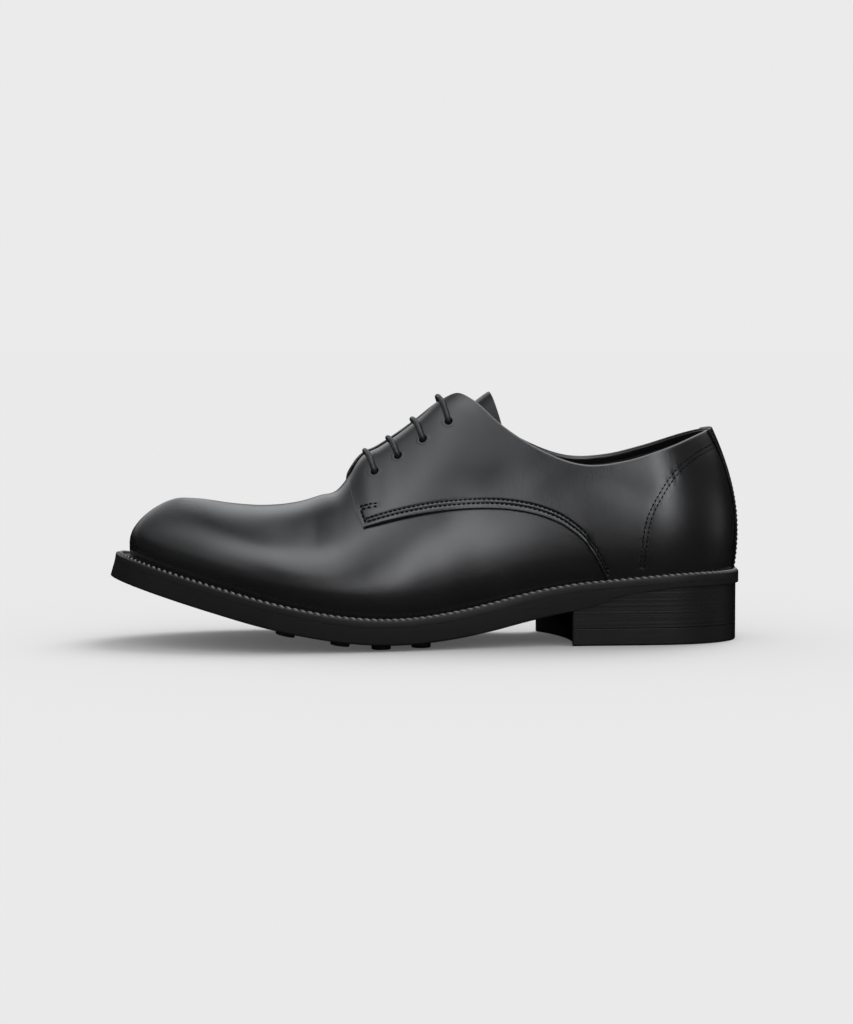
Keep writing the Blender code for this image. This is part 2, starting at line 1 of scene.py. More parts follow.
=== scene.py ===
"""Dresses the solids of a left derby shoe: leather, lining, thread, welt, sole, heel and lace.

The shoe's forms are functions of two parameters. "turn" goes round the shoe, 0 at the heel's back
and pi at the toe, and "rise" goes up a rib of the upper, -1 at the feather edge, 0 at the widest
line and 1 at the ridge. Lengths are in millimetres until a mesh is made. "from_heel" runs from the
back of the welt to the toe.
"""

import functools
import math

import bmesh
import bpy
import numpy as np
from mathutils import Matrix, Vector


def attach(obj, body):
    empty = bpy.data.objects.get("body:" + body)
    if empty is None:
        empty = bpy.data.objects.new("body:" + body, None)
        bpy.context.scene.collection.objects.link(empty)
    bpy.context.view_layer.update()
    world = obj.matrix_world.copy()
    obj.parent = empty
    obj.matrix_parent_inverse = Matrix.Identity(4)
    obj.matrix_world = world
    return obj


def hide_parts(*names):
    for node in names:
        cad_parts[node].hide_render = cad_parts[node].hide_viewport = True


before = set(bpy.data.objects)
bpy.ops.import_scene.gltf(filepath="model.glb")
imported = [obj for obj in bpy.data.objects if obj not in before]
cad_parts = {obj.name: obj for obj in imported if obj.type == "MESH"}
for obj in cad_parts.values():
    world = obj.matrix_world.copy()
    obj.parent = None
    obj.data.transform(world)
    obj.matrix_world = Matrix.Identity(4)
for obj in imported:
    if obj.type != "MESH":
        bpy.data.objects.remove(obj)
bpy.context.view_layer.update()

bl_info = {
    "name": "Derby shoe",
    "version": (1, 0, 0),
    "blender": (4, 5, 0),
    "location": "3D View > Sidebar > Shoe",
    "description": "Dresses the solids of a derby shoe in leather, rubber, thread and cord",
    "category": "Object",
}

MM = 0.001

# The last and the sole, as in the solids
HEEL_Y = 149.8
PLAN_SHIFT = 0.25
WELT_LENGTH = 297.0
HEEL_ROUND = 45.0
TOE_ROUND = 78.0
HEEL_POWER = 2.15
TOE_POWER = 2.2
SPINE_HEEL = 36.0
SPINE_TOE = 264.0
WELT_THICK = 3.3
WELT_WIDTH = 10.4
UPPER_WALL = 1.8
THROAT = 176.0


def table(columns, *rows):
    """Name the columns of a short table of sections."""
    values = np.array(rows, dtype=float)
    return {name: values[:, index] for index, name in enumerate(columns)}


PLAN = table(
    ("from_heel", "centre", "half_width", "welt_top"),
    (0, 0.0, 34.5, 33.0),
    (30, 0.0, 34.5, 32.8),
    (60, 0.6, 34.8, 30.6),
    (85, 1.4, 34.6, 28.2),
    (105, 2.4, 35.0, 24.6),
    (125, 4.0, 36.4, 19.7),
    (145, 5.2, 40.0, 16.0),
    (165, 4.8, 45.2, 14.2),
    (185, 3.0, 49.8, 14.9),
    (205, 1.0, 52.8, 17.8),
    (225, -0.8, 53.6, 22.2),
    (250, -3.0, 51.6, 29.0),
    (275, -5.0, 48.0, 36.0),
    (297, -6.2, 45.0, 42.4),
)

LAST = table(
    ("from_heel", "inset", "tuck", "girth", "pinch_out", "pinch_in", "crown"),
    (0, 3.4, 1.6, 19.0, 0.83, 0.83, 0.0),
    (12, 3.2, 1.7, 19.0, 0.70, 0.70, 0.0),
    (30, 2.8, 1.9, 19.0, 0.46, 0.44, 0.0),
    (60, 2.6, 1.9, 18.0, 0.34, 0.30, 0.0),
    (90, 2.8, 1.8, 17.0, 0.36, 0.32, 0.08),
    (120, 3.0, 1.6, 16.0, 0.42, 0.38, 0.18),
    (150, 3.2, 1.6, 14.0, 0.49, 0.46, 0.24),
    (180, 3.3, 1.8, 12.0, 0.54, 0.50, 0.20),
    (200, 3.4, 1.8, 11.0, 0.48, 0.44, 0.08),
    (220, 3.6, 1.7, 10.0, 0.30, 0.26, 0.0),
    (245, 4.2, 1.3, 8.0, 0.12, 0.10, 0.0),
    (270, 5.2, 0.6, 6.0, 0.12, 0.12, 0.0),
    (297, 6.4, 0.0, 4.5, 0.25, 0.25, 0.0),
)

RIDGE = table(
    ("from_heel", "height", "side"),
    (0, 140.0, 0.0),
    (60, 139.0, 0.0),
    (100, 132.0, -1.5),
    (122, 126.0, -2.5),
    (134, 120.6, -3.0),
    (144, 113.8, -3.3),
    (153, 105.6, -3.5),
    (163, 97.6, -3.8),
    (172, 91.4, -4.0),
    (180, 87.0, -4.0),
    (186, 78.9, -4.0),
    (192, 71.6, -4.0),
    (200, 69.4, -4.0),
    (210, 66.4, -4.0),
    (225, 64.4, -4.2),
    (240, 65.2, -4.6),
    (258, 67.7, -5.0),
    (266, 68.2, -5.2),
    (297, 68.2, -5.6),
)

RIDGE_EVENING = 9.0  # distance over which the ridge's knee is evened down the sides

TOPLINE = table(
    ("from_heel", "outer", "inner"),
    (-10, 103.5, 103.5),
    (13, 101.3, 101.3),
    (21, 98.6, 98.8),
    (42, 91.0, 91.4),
    (61, 85.7, 87.0),
    (78, 84.4, 86.6),
    (99, 91.6, 93.6),
    (117, 103.6, 104.4),
    (128, 114.0, 114.0),
    (135, 118.0, 118.0),
    (141, 118.2, 118.2),
    (147, 120.0, 120.0),
    (170, 140.0, 140.0),
)

FACING_GAP = table(
    ("from_heel", "half_gap"),
    (120, 5.5),
    (150, 4.4),
    (186, 2.6),
    (297, 2.6),
)

QUARTER_EDGE = table(
    ("from_heel", "height"),
    (66.5, 28.0),
    (69.7, 34.8),
    (76.8, 46.4),
    (85.8, 54.5),
    (98.3, 60.4),
    (111.5, 63.3),
    (129.0, 64.2),
    (146.2, 63.0),
    (163.2, 60.2),
    (182.0, 55.6),
)

QUARTER_FRONT = table(
    ("height", "from_heel"),
    (55.6, 182.0),
    (62.8, 184.8),
    (70.6, 186.2),
    (76.0, 186.4),
)
FRONT_TURNS_AT = 73.0     # height where a quarter's front edge starts to round into its facing
FACING_STARTS_AT = 180.0  # from_heel where the rounding ends

STRIP_EDGE = table(
    ("height", "from_heel"),
    (28.0, 6.2),
    (48.0, 4.6),
    (62.0, 5.2),
    (76.0, 8.2),
    (90.0, 13.2),
    (101.0, 19.0),
    (110.0, 24.0),
)

TONGUE_SAG = table(
    ("from_heel", "sag"),
    (110, 6.0),
    (121, 6.0),
    (130, 8.6),
    (140, 8.6),
    (152, 7.0),
    (165, 5.5),
    (178, 4.0),
    (200, 2.0),
)
TONGUE_CLEAR = 0.6
TONGUE_TIP = 120.6
TONGUE_ROOT = 186.0
TONGUE_LEAN = 5.0
TONGUE_LOW = 0.52

SOLE = table(
    ("from_heel", "thick"),
    (0, 2.3),
    (50, 2.9),
    (62, 3.8),
    (74, 6.8),
    (84, 8.2),
    (95, 8.8),
    (120, 8.8),
    (160, 8.2),
    (297, 7.8),
)
HEEL_INSET = 1.3
BREAST_OUTER = 84.5
BREAST_INNER = 94.0
BREAST_BOW = 6.0
LIFT_THICK = 8.0

STUD_SIDES = 36
STUD_HEIGHT = 1.9
STUDS = table(
    ("from_heel", "side"),
    (268, 11.0),
    (268, -19.0),
    (243, 31.0),
    (243, -2.0),
    (243, -36.0),
    (218, 41.0),
    (218, 13.5),
    (218, -15.0),
    (218, -42.0),
    (193, 42.5),
    (193, 14.5),
    (193, -13.0),
    (193, -38.0),
    (174, 39.0),
    (174, 14.0),
    (174, -10.5),
    (174, -33.0),
    (155, 32.5),
    (155, 4.5),
    (155, -24.0),
)
FLOOR_STUDS = (150.0, 180.0)
TOE_STUDS = 230.0
TOE_STUD_HEIGHT = 0.6

EYELETS = table(
    ("from_heel", "height"),
    (175.0, 80.2),
    (163.9, 87.6),
    (152.2, 95.4),
    (140.2, 103.8),
)

EYELET_CUT = 2.55         # radius of the hole that an eyelet's ring fills
EYELET_SIDES = 32
BAR_CREST = 0.905         # rise that a lace bar reaches at the facing's edge
BAR_RUN = 2.6             # way towards the toe that it goes up to there
BAR_DIP = 0.9             # depth to which it presses into the edge
LACE_UNDER = -3.15        # depth of the hidden runs below the upper's face
LACE_STEP = 0.55
LACE_SIDES = 14

# Layers of the dressed shoe, as distances out from the upper's face
VAMP_OUT, VAMP_IN = 0.0, -1.1
LINING_OUT, LINING_IN = -1.12, -1.8
QUARTER_OUT, QUARTER_IN = 1.6, 0.04
STRIP_OUT, STRIP_IN = 2.7, 1.62
LAYER_FOOT = -0.97
BACK_SEAM = 0.012
FACING_LEAN = 0.55        # the outer facing's edge lies lower by this and the inner one's higher
FACING_LEAN_REACH = 6.0   # distance from the facing's edge over which it does so
COLLAR_STARTS = 124.0     # from_heel where the lean starts, and the length over which it comes
COLLAR_BLEND = 14.0
CORNER_BLEND = 3.0        # rounds the corner where a facing meets the top line

# Distances from an edge at which a surface has a line of points, close together at the edge
ROUND_STEPS = np.array([0.0, 0.03, 0.10, 0.22, 0.40, 0.65, 1.0])
SEAM_STEPS = np.concatenate([ROUND_STEPS, np.arange(1.35, 6.3, 0.35)])

# Stitches sink the leather in furrows
FURROW_WIDTH = 0.5
QUARTER_FURROW = 0.3
STRIP_FURROW = 0.14
RUBBED_AND_HIGHLIGHT_WIDTH = 0.5         # distance from an edge over which the leather is painted lighter: a painted highlight, partly rubbed leather too
STITCH_SIDES = 6

# Rows of stitches on each quarter, as side views
SEAM_INSETS = (2.6, 4.6)   # from the lower edge
BAR_TACK = table(("from_heel", "height"), (182.3, 63.2), (178.5, 64.3), (174.4, 64.9))
TACK_DOWN = table(("from_heel", "height"), (182.3, 63.2), (181.6, 60.6), (180.6, 57.9))
TACK_GAP = 1.3
COUNTER_ROW = table(
    ("from_heel", "height"),
    (15.0, 91.2),
    (23.4, 87.7),
    (31.2, 82.7),
    (38.3, 75.0),
    (45.0, 64.2),
    (48.0, 56.7),
    (49.8, 45.4),
    (50.6, 36.6),
)
COUNTER_GAP = -1.9
STRIP_SEAM_INSET = 1.5

# The welt's bead, and its teeth as shares of its height
BEAD_INSET = 1.55
BEAD_WIDTH = 1.15
BEAD_POINTS = 9
TOOTH_STEPS = 8
TOOTH_SLANT = 0.35
TOOTH_LOW, TOOTH_HIGH = 0.30, 0.75

# The sock over the insole
SOCK_RISE = -0.86
SOCK_THICK = 1.6
SOCK_LIFT = 0.5
SOCK_HOLLOW = 1.4

# The stage: floor, sun and dome
FLOOR_GREY = 0.6
FLOOR_GLOW = 0.09
FLOOR_SIDES = 64
SUN_STRENGTH = 1.60
SUN_WIDTH = 40.0                   # degrees
SUN_TRAVEL = (0.44, -0.36, -0.82)  # direction that its light goes in
DOME_SIDES, DOME_ROWS = 72, 25
BLACK = (0.0, 0.0, 0.0, 1.0)
BRIGHTEST = 12.0                   # glow at which the dome's colour is full

# Lights of the dome: azimuth and power of the lobe, elevations over which it comes and goes, strength
LIGHTS = (
    (105.0, 0.6, (32, 96), (170, 180), 3.8),
    (113.0, 230.0, (-1, 11), (46, 58), 5.0),
    (101.0, 90.0, (40, 52), (72, 92), 1.0),
    (86.0, 3.0, (-3, 5), (28, 44), 0.18),
    (44.0, 22.0, (14, 39), (64, 86), 0.8),
    (-10.0, 12.0, (20, 34), (64, 86), 0.35),
    (281.0, 20.0, (6, 18), (36, 60), 0.9),
    (228.0, 8.0, (14, 36), (58, 82), 1.0),
    (174.0, 60.0, (-6, -2), (6, 20), 0.4),
)

# Soft dents and swells of the leather. The angle is from level, in degrees.
DENTS = table(
    ("from_heel", "height", "length", "width", "angle", "depth"),
    (96.0, 78.0, 15.0, 6.0, 20.0, -0.35),
    (60.0, 74.0, 14.0, 6.0, -12.0, -0.28),
    (118.0, 84.0, 13.0, 6.5, 38.0, 0.22),
    (136.0, 76.0, 16.0, 7.0, 12.0, -0.22),
    (205.0, 50.0, 12.0, 7.0, 60.0, -0.18),
    (226.0, 52.0, 14.0, 6.0, 78.0, 0.12),
    (186.0, 42.0, 15.0, 7.0, 30.0, -0.20),
    (207.0, 69.0, 14.0, 4.5, 12.0, -0.45),
    (206.0, 61.5, 18.0, 4.5, 4.0, 0.30),
)


def smooth(source, column, at, key="from_heel"):
    """Read a column by the cubic through its rows whose slopes are those of the rows around."""
    knots = source[key]
    values = source[column]
    slopes = np.gradient(values, knots)
    at = np.clip(at, knots[0], knots[-1])
    left = np.clip(np.searchsorted(knots, at, side="right") - 1, 0, len(knots) - 2)
    width = knots[left + 1] - knots[left]
    part = (at - knots[left]) / width
    rest = 1 - part
    return (values[left] * (1 + 2 * part) * rest ** 2
            + slopes[left] * width * part * rest ** 2
            + values[left + 1] * (3 - 2 * part) * part ** 2
            - slopes[left + 1] * width * rest * part ** 2)


def heel_distance(turn):
    """Distance of a turn from the heel's back: half the length times one less its cosine."""
    return WELT_LENGTH * (1 - np.cos(turn)) / 2


def turn_of(from_heel):
    """Turn at a distance from the heel's back, on the outer side."""
    return np.arccos(1 - 2 * from_heel / WELT_LENGTH)


def spine_at(turn):
    """Where a turn's rib meets the spine, as distance from the heel's back."""
    return SPINE_HEEL + (SPINE_TOE - SPINE_HEEL) * heel_distance(turn) / WELT_LENGTH


def unit(vectors):
    """Vectors made one long."""
    return vectors / (np.linalg.norm(vectors, axis=-1, keepdims=True) + 1e-12)


def circle(count):
    """Cosines and sines of even angles round a circle."""
    angle = np.linspace(0, 2 * math.pi, count, endpoint=False)
    return np.cos(angle), np.sin(angle)


def rim(turn):
    """Welt's edge in plan: half the length times one less the turn's cosine, and to each side the
    half width times a superellipse at the heel and another at the toe."""
    from_heel = heel_distance(turn)
    heel = np.clip(1 - from_heel / HEEL_ROUND, 0, 1)
    toe = np.clip(1 - (WELT_LENGTH - from_heel) / TOE_ROUND, 0, 1)
    ends = (1 - heel ** HEEL_POWER) ** (1 / HEEL_POWER) * (1 - toe ** TOE_POWER) ** (1 / TOE_POWER)
    half = smooth(PLAN, "half_width", from_heel) * ends
    return from_heel, smooth(PLAN, "centre", from_heel) + np.sign(np.sin(turn)) * half


def inset_rim(turn, inset):
    """The welt's edge moved in by a distance square to it."""
    step = 0.002
    from_heel, side = rim(turn)
    ahead = rim(turn + step)
    behind = rim(turn - step)
    along_heel = ahead[0] - behind[0]
    along_side = ahead[1] - behind[1]
    size = np.hypot(along_heel, along_side)
    return from_heel + inset * along_side / size, side - inset * along_heel / size


def place(from_heel, side, height):
    """Points in the model's axes from a place along, across and above."""
    return np.stack(np.broadcast_arrays(side + PLAN_SHIFT, HEEL_Y - from_heel, height), axis=-1)


def crown_height(from_heel, rise_sine):
    """Ridge's height at the spine. Further down the sides it is evened with the ridge's height a
    little behind and ahead, by one less the sine's eighth power."""
    ridge = smooth(RIDGE, "height", from_heel)
    behind = smooth(RIDGE, "height", from_heel - RIDGE_EVENING)
    ahead = smooth(RIDGE, "height", from_heel + RIDGE_EVENING)
    return ridge + ((behind + ahead) / 2 - ridge) * (1 - rise_sine ** 8) * 0.5


def rib(turn, rise, sag=0.0):
    """Upper's face without thickness. In plan a rib runs from the widest line to the spine: its
    reach is the cosine of the rise, pinched by the sine's square and widened again at the crown.
    Its height is the widest line's plus the sine times the way up to the ridge, whose knee evens
    out down the sides. Below the widest line it tucks in by the rise's square."""
    at = heel_distance(turn)
    rim_heel, rim_side = inset_rim(turn, smooth(LAST, "inset", at))
    spine_heel = spine_at(turn)
    spine_side = smooth(RIDGE, "side", spine_heel)
    span = np.hypot(rim_heel - spine_heel, rim_side - spine_side)
    angle = np.clip(rise, 0, 1) * math.pi / 2
    rise_sine = np.sin(angle)
    pinch = np.where(np.sin(turn) >= 0, smooth(LAST, "pinch_out", at), smooth(LAST, "pinch_in", at))
    widening = smooth(LAST, "crown", at) * rise_sine ** 8
    reach = np.cos(angle) * (1 - pinch * rise_sine ** 2 + widening)
    reach = reach - smooth(LAST, "tuck", at) * np.clip(-rise, 0, 1) ** 2 / span
    from_heel = spine_heel + (rim_heel - spine_heel) * reach
    side = spine_side + (rim_side - spine_side) * reach
    widest = smooth(PLAN, "welt_top", at) + smooth(LAST, "girth", at)
    feather = smooth(PLAN, "welt_top", from_heel) + 0.1
    height = np.where(rise < 0, widest + (widest - feather) * rise,
                      widest + (crown_height(from_heel, rise_sine) - widest) * rise_sine)
    return from_heel, side, height - sag * rise_sine ** 6, reach * span


def dents(turn, rise):
    """Sum of soft dents: each is its depth times a bell curve along and across its own direction."""
    from_heel, _, height, _ = rib(turn, rise)
    total = np.zeros(np.shape(from_heel))
    for at, high, length, width, angle, depth in zip(*DENTS.values()):
        angle = math.radians(angle)
        along = (from_heel - at) * math.cos(angle) - (height - high) * math.sin(angle)
        across = (from_heel - at) * math.sin(angle) + (height - high) * math.cos(angle)
        total += depth * np.exp(-(along / length) ** 2 - (across / width) ** 2)
    return total


def skin(turn, rise, out=0.0, sag=0.0):
    """The rib's point moved out along its normal, which is the cross product of the two slopes."""
    step = 0.004
    low = np.minimum(rise + step, 1.0)
    across = place(*rib(turn + step, rise, sag)[:3]) - place(*rib(turn - step, rise, sag)[:3])
    upward = place(*rib(turn, low, sag)[:3]) - place(*rib(turn, low - 2 * step, sag)[:3])
    out = np.asarray(out) + dents(turn, rise)
    return place(*rib(turn, rise, sag)[:3]) + unit(np.cross(upward, across)) * out[..., None]


def turn_at(from_heel, rise, side):
    """Turn of the rib that passes a place along the shoe at a rise, found by repeated correction."""
    at = from_heel + 0.0 * rise
    for _ in range(8):
        turn = side * turn_of(np.clip(at, 0.5, WELT_LENGTH - 0.5))
        at = at + from_heel - rib(turn, rise)[0]
    return turn


def on_upper(from_heel, height, side):
    """Turn and rise of the upper's points at places in side view, by halving the range of rises."""
    from_heel = np.asarray(from_heel, dtype=float)
    low = np.full(from_heel.shape, -1.0)
    high = np.full(from_heel.shape, 1.0)
    for _ in range(20):
        middle = (low + high) / 2
        above = rib(turn_at(from_heel, middle, side), middle)[2] > height
        high = np.where(above, middle, high)
        low = np.where(above, low, middle)
    return turn_at(from_heel, low, side), low


def first_crossing(values, shares):
    """Share at which each row of values first falls below zero, between two neighbours."""
    first = np.maximum(np.argmax(values < 0, axis=1), 1)
    rows = np.arange(len(first))
    before = values[rows, first - 1]
    after = values[rows, first]
    part = before / (before - after)
    return shares[rows, first - 1] * (1 - part) + shares[rows, first] * part


def opening_rise(turn):
    """Rise where each rib meets the top line or its facing's edge, whichever leaves less room,
    with the corner between them rounded by a smooth minimum."""
    turn = np.asarray(turn)[:, None]
    rises = np.broadcast_to(np.linspace(0, 1, 321), (len(turn), 321))
    from_heel, _, height, from_spine = rib(turn, rises)
    top = np.where(np.sin(turn) >= 0, smooth(TOPLINE, "outer", from_heel),
                   smooth(TOPLINE, "inner", from_heel))
    over = top - height
    beside = from_spine - smooth(FACING_GAP, "half_gap", from_heel)
    room = (over + beside - np.hypot(over - beside, CORNER_BLEND)) / 2
    return first_crossing(room, rises)


def length_along(points, axis=0):
    """Distance run along a line of points, starting with 0."""
    steps = np.linalg.norm(np.diff(points, axis=axis), axis=-1)
    run = np.cumsum(steps, axis=axis)
    start = np.zeros_like(np.take(run, [0], axis=axis))
    return np.concatenate([start, run], axis=axis)


class Edge:
    """A line on the upper, through turns and rises, that is read by its share of the length."""

    def __init__(self, turn, rise):
        self.turn = np.asarray(turn)
        self.rise = np.asarray(rise)
        self.run = length_along(skin(self.turn, self.rise))
        self.length = self.run[-1]

    def __call__(self, share):
        at = np.asarray(share) * self.length
        return np.stack([np.interp(at, self.run, self.turn), np.interp(at, self.run, self.rise)], axis=-1)


class UpperEdge:
    """A quarter's upper edge, read by its lower edge's share: it lies at that point's turn, with
    the lead that the front corner has at the top, which falls with the rest's sixth power."""

    def __init__(self, low, turn, rise):
        self.low = low
        self.turn = np.asarray(turn)
        self.rise = np.asarray(rise)
        self.lead = self.turn[0] - low.turn[0]
        self.order = np.argsort(self.turn)

    def __call__(self, share):
        turn = self.low(share)[..., 0] + self.lead * (1 - np.asarray(share)) ** 6
        rise = np.interp(turn, self.turn[self.order], self.rise[self.order])
        return np.stack([turn, rise], axis=-1)


def patch(low, high, front, a, b):
    """Point between three edges: on the line from the lower edge to the upper one, and moved by
    the front edge's departure from such a line, which fades with the rest's cube."""
    a = a[..., None]
    b = b[..., None]
    between = (1 - b) * low(a[..., 0]) + b * high(a[..., 0])
    departure = front(b[..., 0]) - (1 - b) * low(0.0) - b * high(0.0)
    return between + (1 - a) ** 3 * departure


def crowded(length, start, end, count):
    """Shares along lines of these lengths: steps at given distances from both ends, even between."""
    length = np.atleast_1d(length)[:, None]
    first = start[None, :] / length
    last = 1 - end[::-1][None, :] / length
    share = np.linspace(0, 1, count + 2)[None, 1:-1]
    middle = first[:, -1:] * (1 - share) + last[:, :1] * share
    return np.concatenate([first, middle, last], axis=1)


def rounded(distance, radius, power=2.4):
    """From 0 at an edge to 1 at the radius, as the quarter of a superellipse."""
    left = 1 - np.clip(distance / radius, 0, 1)
    return (1 - left ** power) ** (1 / power)


def least(*edges):
    """Share of a wall's thickness that each edge's distance and radius leave, the least of them."""
    return functools.reduce(np.minimum, [rounded(distance, radius) for distance, radius in edges])


def grid_faces(rows, columns, closed=False, keep=None):
    """Quads of a grid stored row by row. A mask of the cells may leave some out."""
    row = np.arange(rows if closed else rows - 1)[:, None]
    column = np.arange(columns - 1)[None, :]
    a = row * columns + column
    b = (row + 1) % rows * columns + column
    faces = np.stack([a, a + 1, b + 1, b], axis=-1)
    return faces.reshape(-1, 4) if keep is None else faces[keep]


def last_column(rows, columns):
    """Quads that join a closed grid's last column to its first, row by row."""
    row = np.arange(rows)
    ahead = (row + 1) % rows
    last = columns - 1
    return np.stack([row * columns + last, row * columns, ahead * columns, ahead * columns + last], axis=-1)


def make_mesh(name, points, faces, merge=0.00001, values=None):
    """Mesh in metres from points in millimetres, with its points' values: doubles are merged and
    faces turned outwards."""
    mesh = bpy.data.meshes.new(name)
    mesh.from_pydata((np.asarray(points).reshape(-1, 3) * MM).tolist(), [], [list(f) for f in faces])
    for key, numbers in (values or {}).items():
        numbers = np.asarray(numbers, dtype=np.float32)
        single = numbers.ndim == 1
        attribute = mesh.attributes.new(key, "FLOAT" if single else "FLOAT_VECTOR", "POINT")
        attribute.data.foreach_set("value" if single else "vector", numbers.ravel())
    shape = bmesh.new()
    shape.from_mesh(mesh)
    if merge:
        bmesh.ops.remove_doubles(shape, verts=shape.verts, dist=merge)
        bmesh.ops.dissolve_degenerate(shape, edges=shape.edges, dist=merge)
    bmesh.ops.recalc_face_normals(shape, faces=shape.faces)
    shape.to_mesh(mesh)
    shape.free()
    return mesh


def add_object(name, data):
    """A new object of the scene, at the origin."""
    made = bpy.data.objects.new(name, data)
    bpy.context.scene.collection.objects.link(made)
    return made


def add_piece(name, points, faces, finish, stands_for=(), sharp=50.0, merge=0.00001, values=None):
    """A piece of the shoe that rides with it. Values are attributes of its points, by name."""
    mesh = make_mesh(name, points, faces, merge, values)
    mesh.shade_smooth()
    mesh.set_sharp_from_angle(angle=math.radians(sharp))
    mesh.materials.append(finish)
    piece = add_object(name, mesh)
    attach(piece, "root")
    if stands_for:
        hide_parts(*stands_for)


def joined(parts):
    """Points and faces of several shapes as one."""
    points = []
    faces = []
    start = 0
    for part_points, part_faces in parts:
        points.append(np.asarray(part_points).reshape(-1, 3))
        if isinstance(part_faces, np.ndarray):
            faces += (part_faces + start).tolist()
        else:
            faces += [[index + start for index in face] for face in part_faces]
        start += len(points[-1])
    return np.concatenate(points), faces


def both_faces(turn, rise, out, inside, share, sag=0.0):
    """Points of an outer and an inner surface, which close on each other where the share of the
    thickness falls to 0."""
    middle = (out + inside) / 2
    half = (out - inside) / 2
    outer = skin(turn, rise, middle + half * share, sag)
    inner = skin(turn, rise, middle - half * share, sag)
    return np.concatenate([outer.reshape(-1, 3), inner.reshape(-1, 3)])


def shell(turn, rise, out, inside, share, sag=0.0, keep=None):
    """Closed wall on a grid between two distances from the upper's face."""
    columns = turn.shape[1]
    faces = [grid_faces(*turn.shape, keep=keep)]
    faces.append(faces[0] + turn.size)
    if keep is not None:
        faces += cell_walls(keep, columns, turn.size)
    return both_faces(turn, rise, out, inside, share, sag), np.concatenate(faces)


def cell_walls(keep, columns, under):
    """Walls round the cells that a mask leaves out, from the outer surface to the inner one."""
    walls = []
    row, column = np.nonzero(keep[1:, :] != keep[:-1, :])
    a = (row + 1) * columns + column
    walls.append(np.stack([a, a + 1, a + 1 + under, a + under], axis=-1))
    row, column = np.nonzero(keep[:, 1:] != keep[:, :-1])
    a = row * columns + column + 1
    walls.append(np.stack([a, a + columns, a + columns + under, a + under], axis=-1))
    return walls


def body_wall(ribs, rows, out, inside, below_top):
    """Wall all round the shoe from the feather edge up. In front of the throat both sides meet on
    the ridge. Behind it the wall closes on itself at the top line and the facings' edges."""
    turns = np.linspace(0, 2 * math.pi, 2 * ribs, endpoint=False)
    shut = spine_at(turns) > THROAT
    signed = np.where(turns > math.pi, turns - 2 * math.pi, turns)
    top = np.where(shut, 1.0, opening_rise(signed) - below_top)
    share = crowded(60.0, ROUND_STEPS, ROUND_STEPS, rows)[0]
    rise = -1 + (top[:, None] + 1) * share[None, :]
    turn = np.broadcast_to(turns[:, None], rise.shape)
    top_edge = np.where(shut[:, None], 1.0, rounded((1 - share) * 60.0, 0.6))
    thick = rounded(share * 60.0, 0.5)[None, :] * top_edge
    points = both_faces(turn, rise, out, inside, thick)
    count, columns = rise.shape
    faces = grid_faces(count, columns, closed=True)
    under = count * columns
    last = columns - 1
    first, final = np.nonzero(shut)[0][[0, -1]] * columns + last
    ends = [[first, first + under, first - columns], [final, final + under, final + columns]]
    return points, faces.tolist() + (faces + under).tolist() + ends


@functools.lru_cache(maxsize=None)
def quarter_edges(side):
    """Lower, upper and front edge of a quarter. The corner between its front edge and its facing
    is the quadratic curve between a point on each."""
    along = np.linspace(182.0, 66.5, 170)
    low_turn, low_rise = on_upper(along, smooth(QUARTER_EDGE, "height", along), side)
    low_rise = np.maximum(low_rise, LAYER_FOOT)
    rest = np.linspace(low_turn[-1], BACK_SEAM * side, 90)[1:]
    low = Edge(np.concatenate([low_turn, rest]), np.concatenate([low_rise, np.full(len(rest), LAYER_FOOT)]))

    heights = np.linspace(QUARTER_FRONT["height"][0], FRONT_TURNS_AT, 40)
    front_at = smooth(QUARTER_FRONT, "from_heel", heights, key="height")
    front_turn, front_rise = on_upper(front_at, heights, side)
    corner_turn = turn_at(QUARTER_FRONT["from_heel"][-1], np.array([0.93]), side)
    facing_turn = turn_at(FACING_STARTS_AT, np.array([0.93]), side)
    corner = np.array([corner_turn[0], opening_rise(corner_turn)[0]])
    facing = np.array([facing_turn[0], opening_rise(facing_turn)[0]])
    start = np.array([front_turn[-1], front_rise[-1]])
    bend = np.linspace(0, 1, 41)[:, None]
    bend = (1 - bend) ** 2 * start + 2 * bend * (1 - bend) * corner + bend ** 2 * facing
    front = Edge(np.concatenate([front_turn, bend[1:21, 0]]), np.concatenate([front_rise, bend[1:21, 1]]))
    turns = np.linspace(facing[0], BACK_SEAM * side, 420)
    high = UpperEdge(low, np.concatenate([bend[20:-1, 0], turns]),
                     np.concatenate([bend[20:-1, 1], opening_rise(turns)]))
    return low, high, front


@functools.lru_cache(maxsize=None)
def quarter_grid(side, columns=190, rows=64):
    """Turn and rise of a quarter's grid, with the distances from its lower, front, upper and back
    edges."""
    low, high, front = quarter_edges(side)
    a = crowded(low.length, SEAM_STEPS, ROUND_STEPS, columns)[0]
    coarse = np.broadcast_to(np.linspace(0, 1, 24)[None, :], (len(a), 24))
    lines = patch(low, high, front, np.broadcast_to(a[:, None], coarse.shape), coarse)
    lengths = length_along(skin(lines[..., 0], lines[..., 1]), axis=1)[:, -1]
    b = crowded(lengths, SEAM_STEPS, ROUND_STEPS, rows)
    spots = patch(low, high, front, np.broadcast_to(a[:, None], b.shape), b)
    turn, rise = spots[..., 0], spots[..., 1]
    points = skin(turn, rise, QUARTER_OUT)
    up = length_along(points, axis=1)
    along = length_along(points, axis=0)
    return turn, rise, up, along, up[:, -1:] - up, along[-1:, :] - along


def at_inset(inset, distance, turn, rise):
    """Turn and rise on each line of a grid where the distance from an edge reaches an inset, with
    the column before it."""
    index = np.broadcast_to(np.arange(distance.shape[1], dtype=float), distance.shape)
    column = first_crossing(inset - distance, index)
    rows = np.arange(len(column))
    left = column.astype(int)
    part = column - left
    return (turn[rows, left] * (1 - part) + turn[rows, left + 1] * part,
            rise[rows, left] * (1 - part) + rise[rows, left + 1] * part, left)


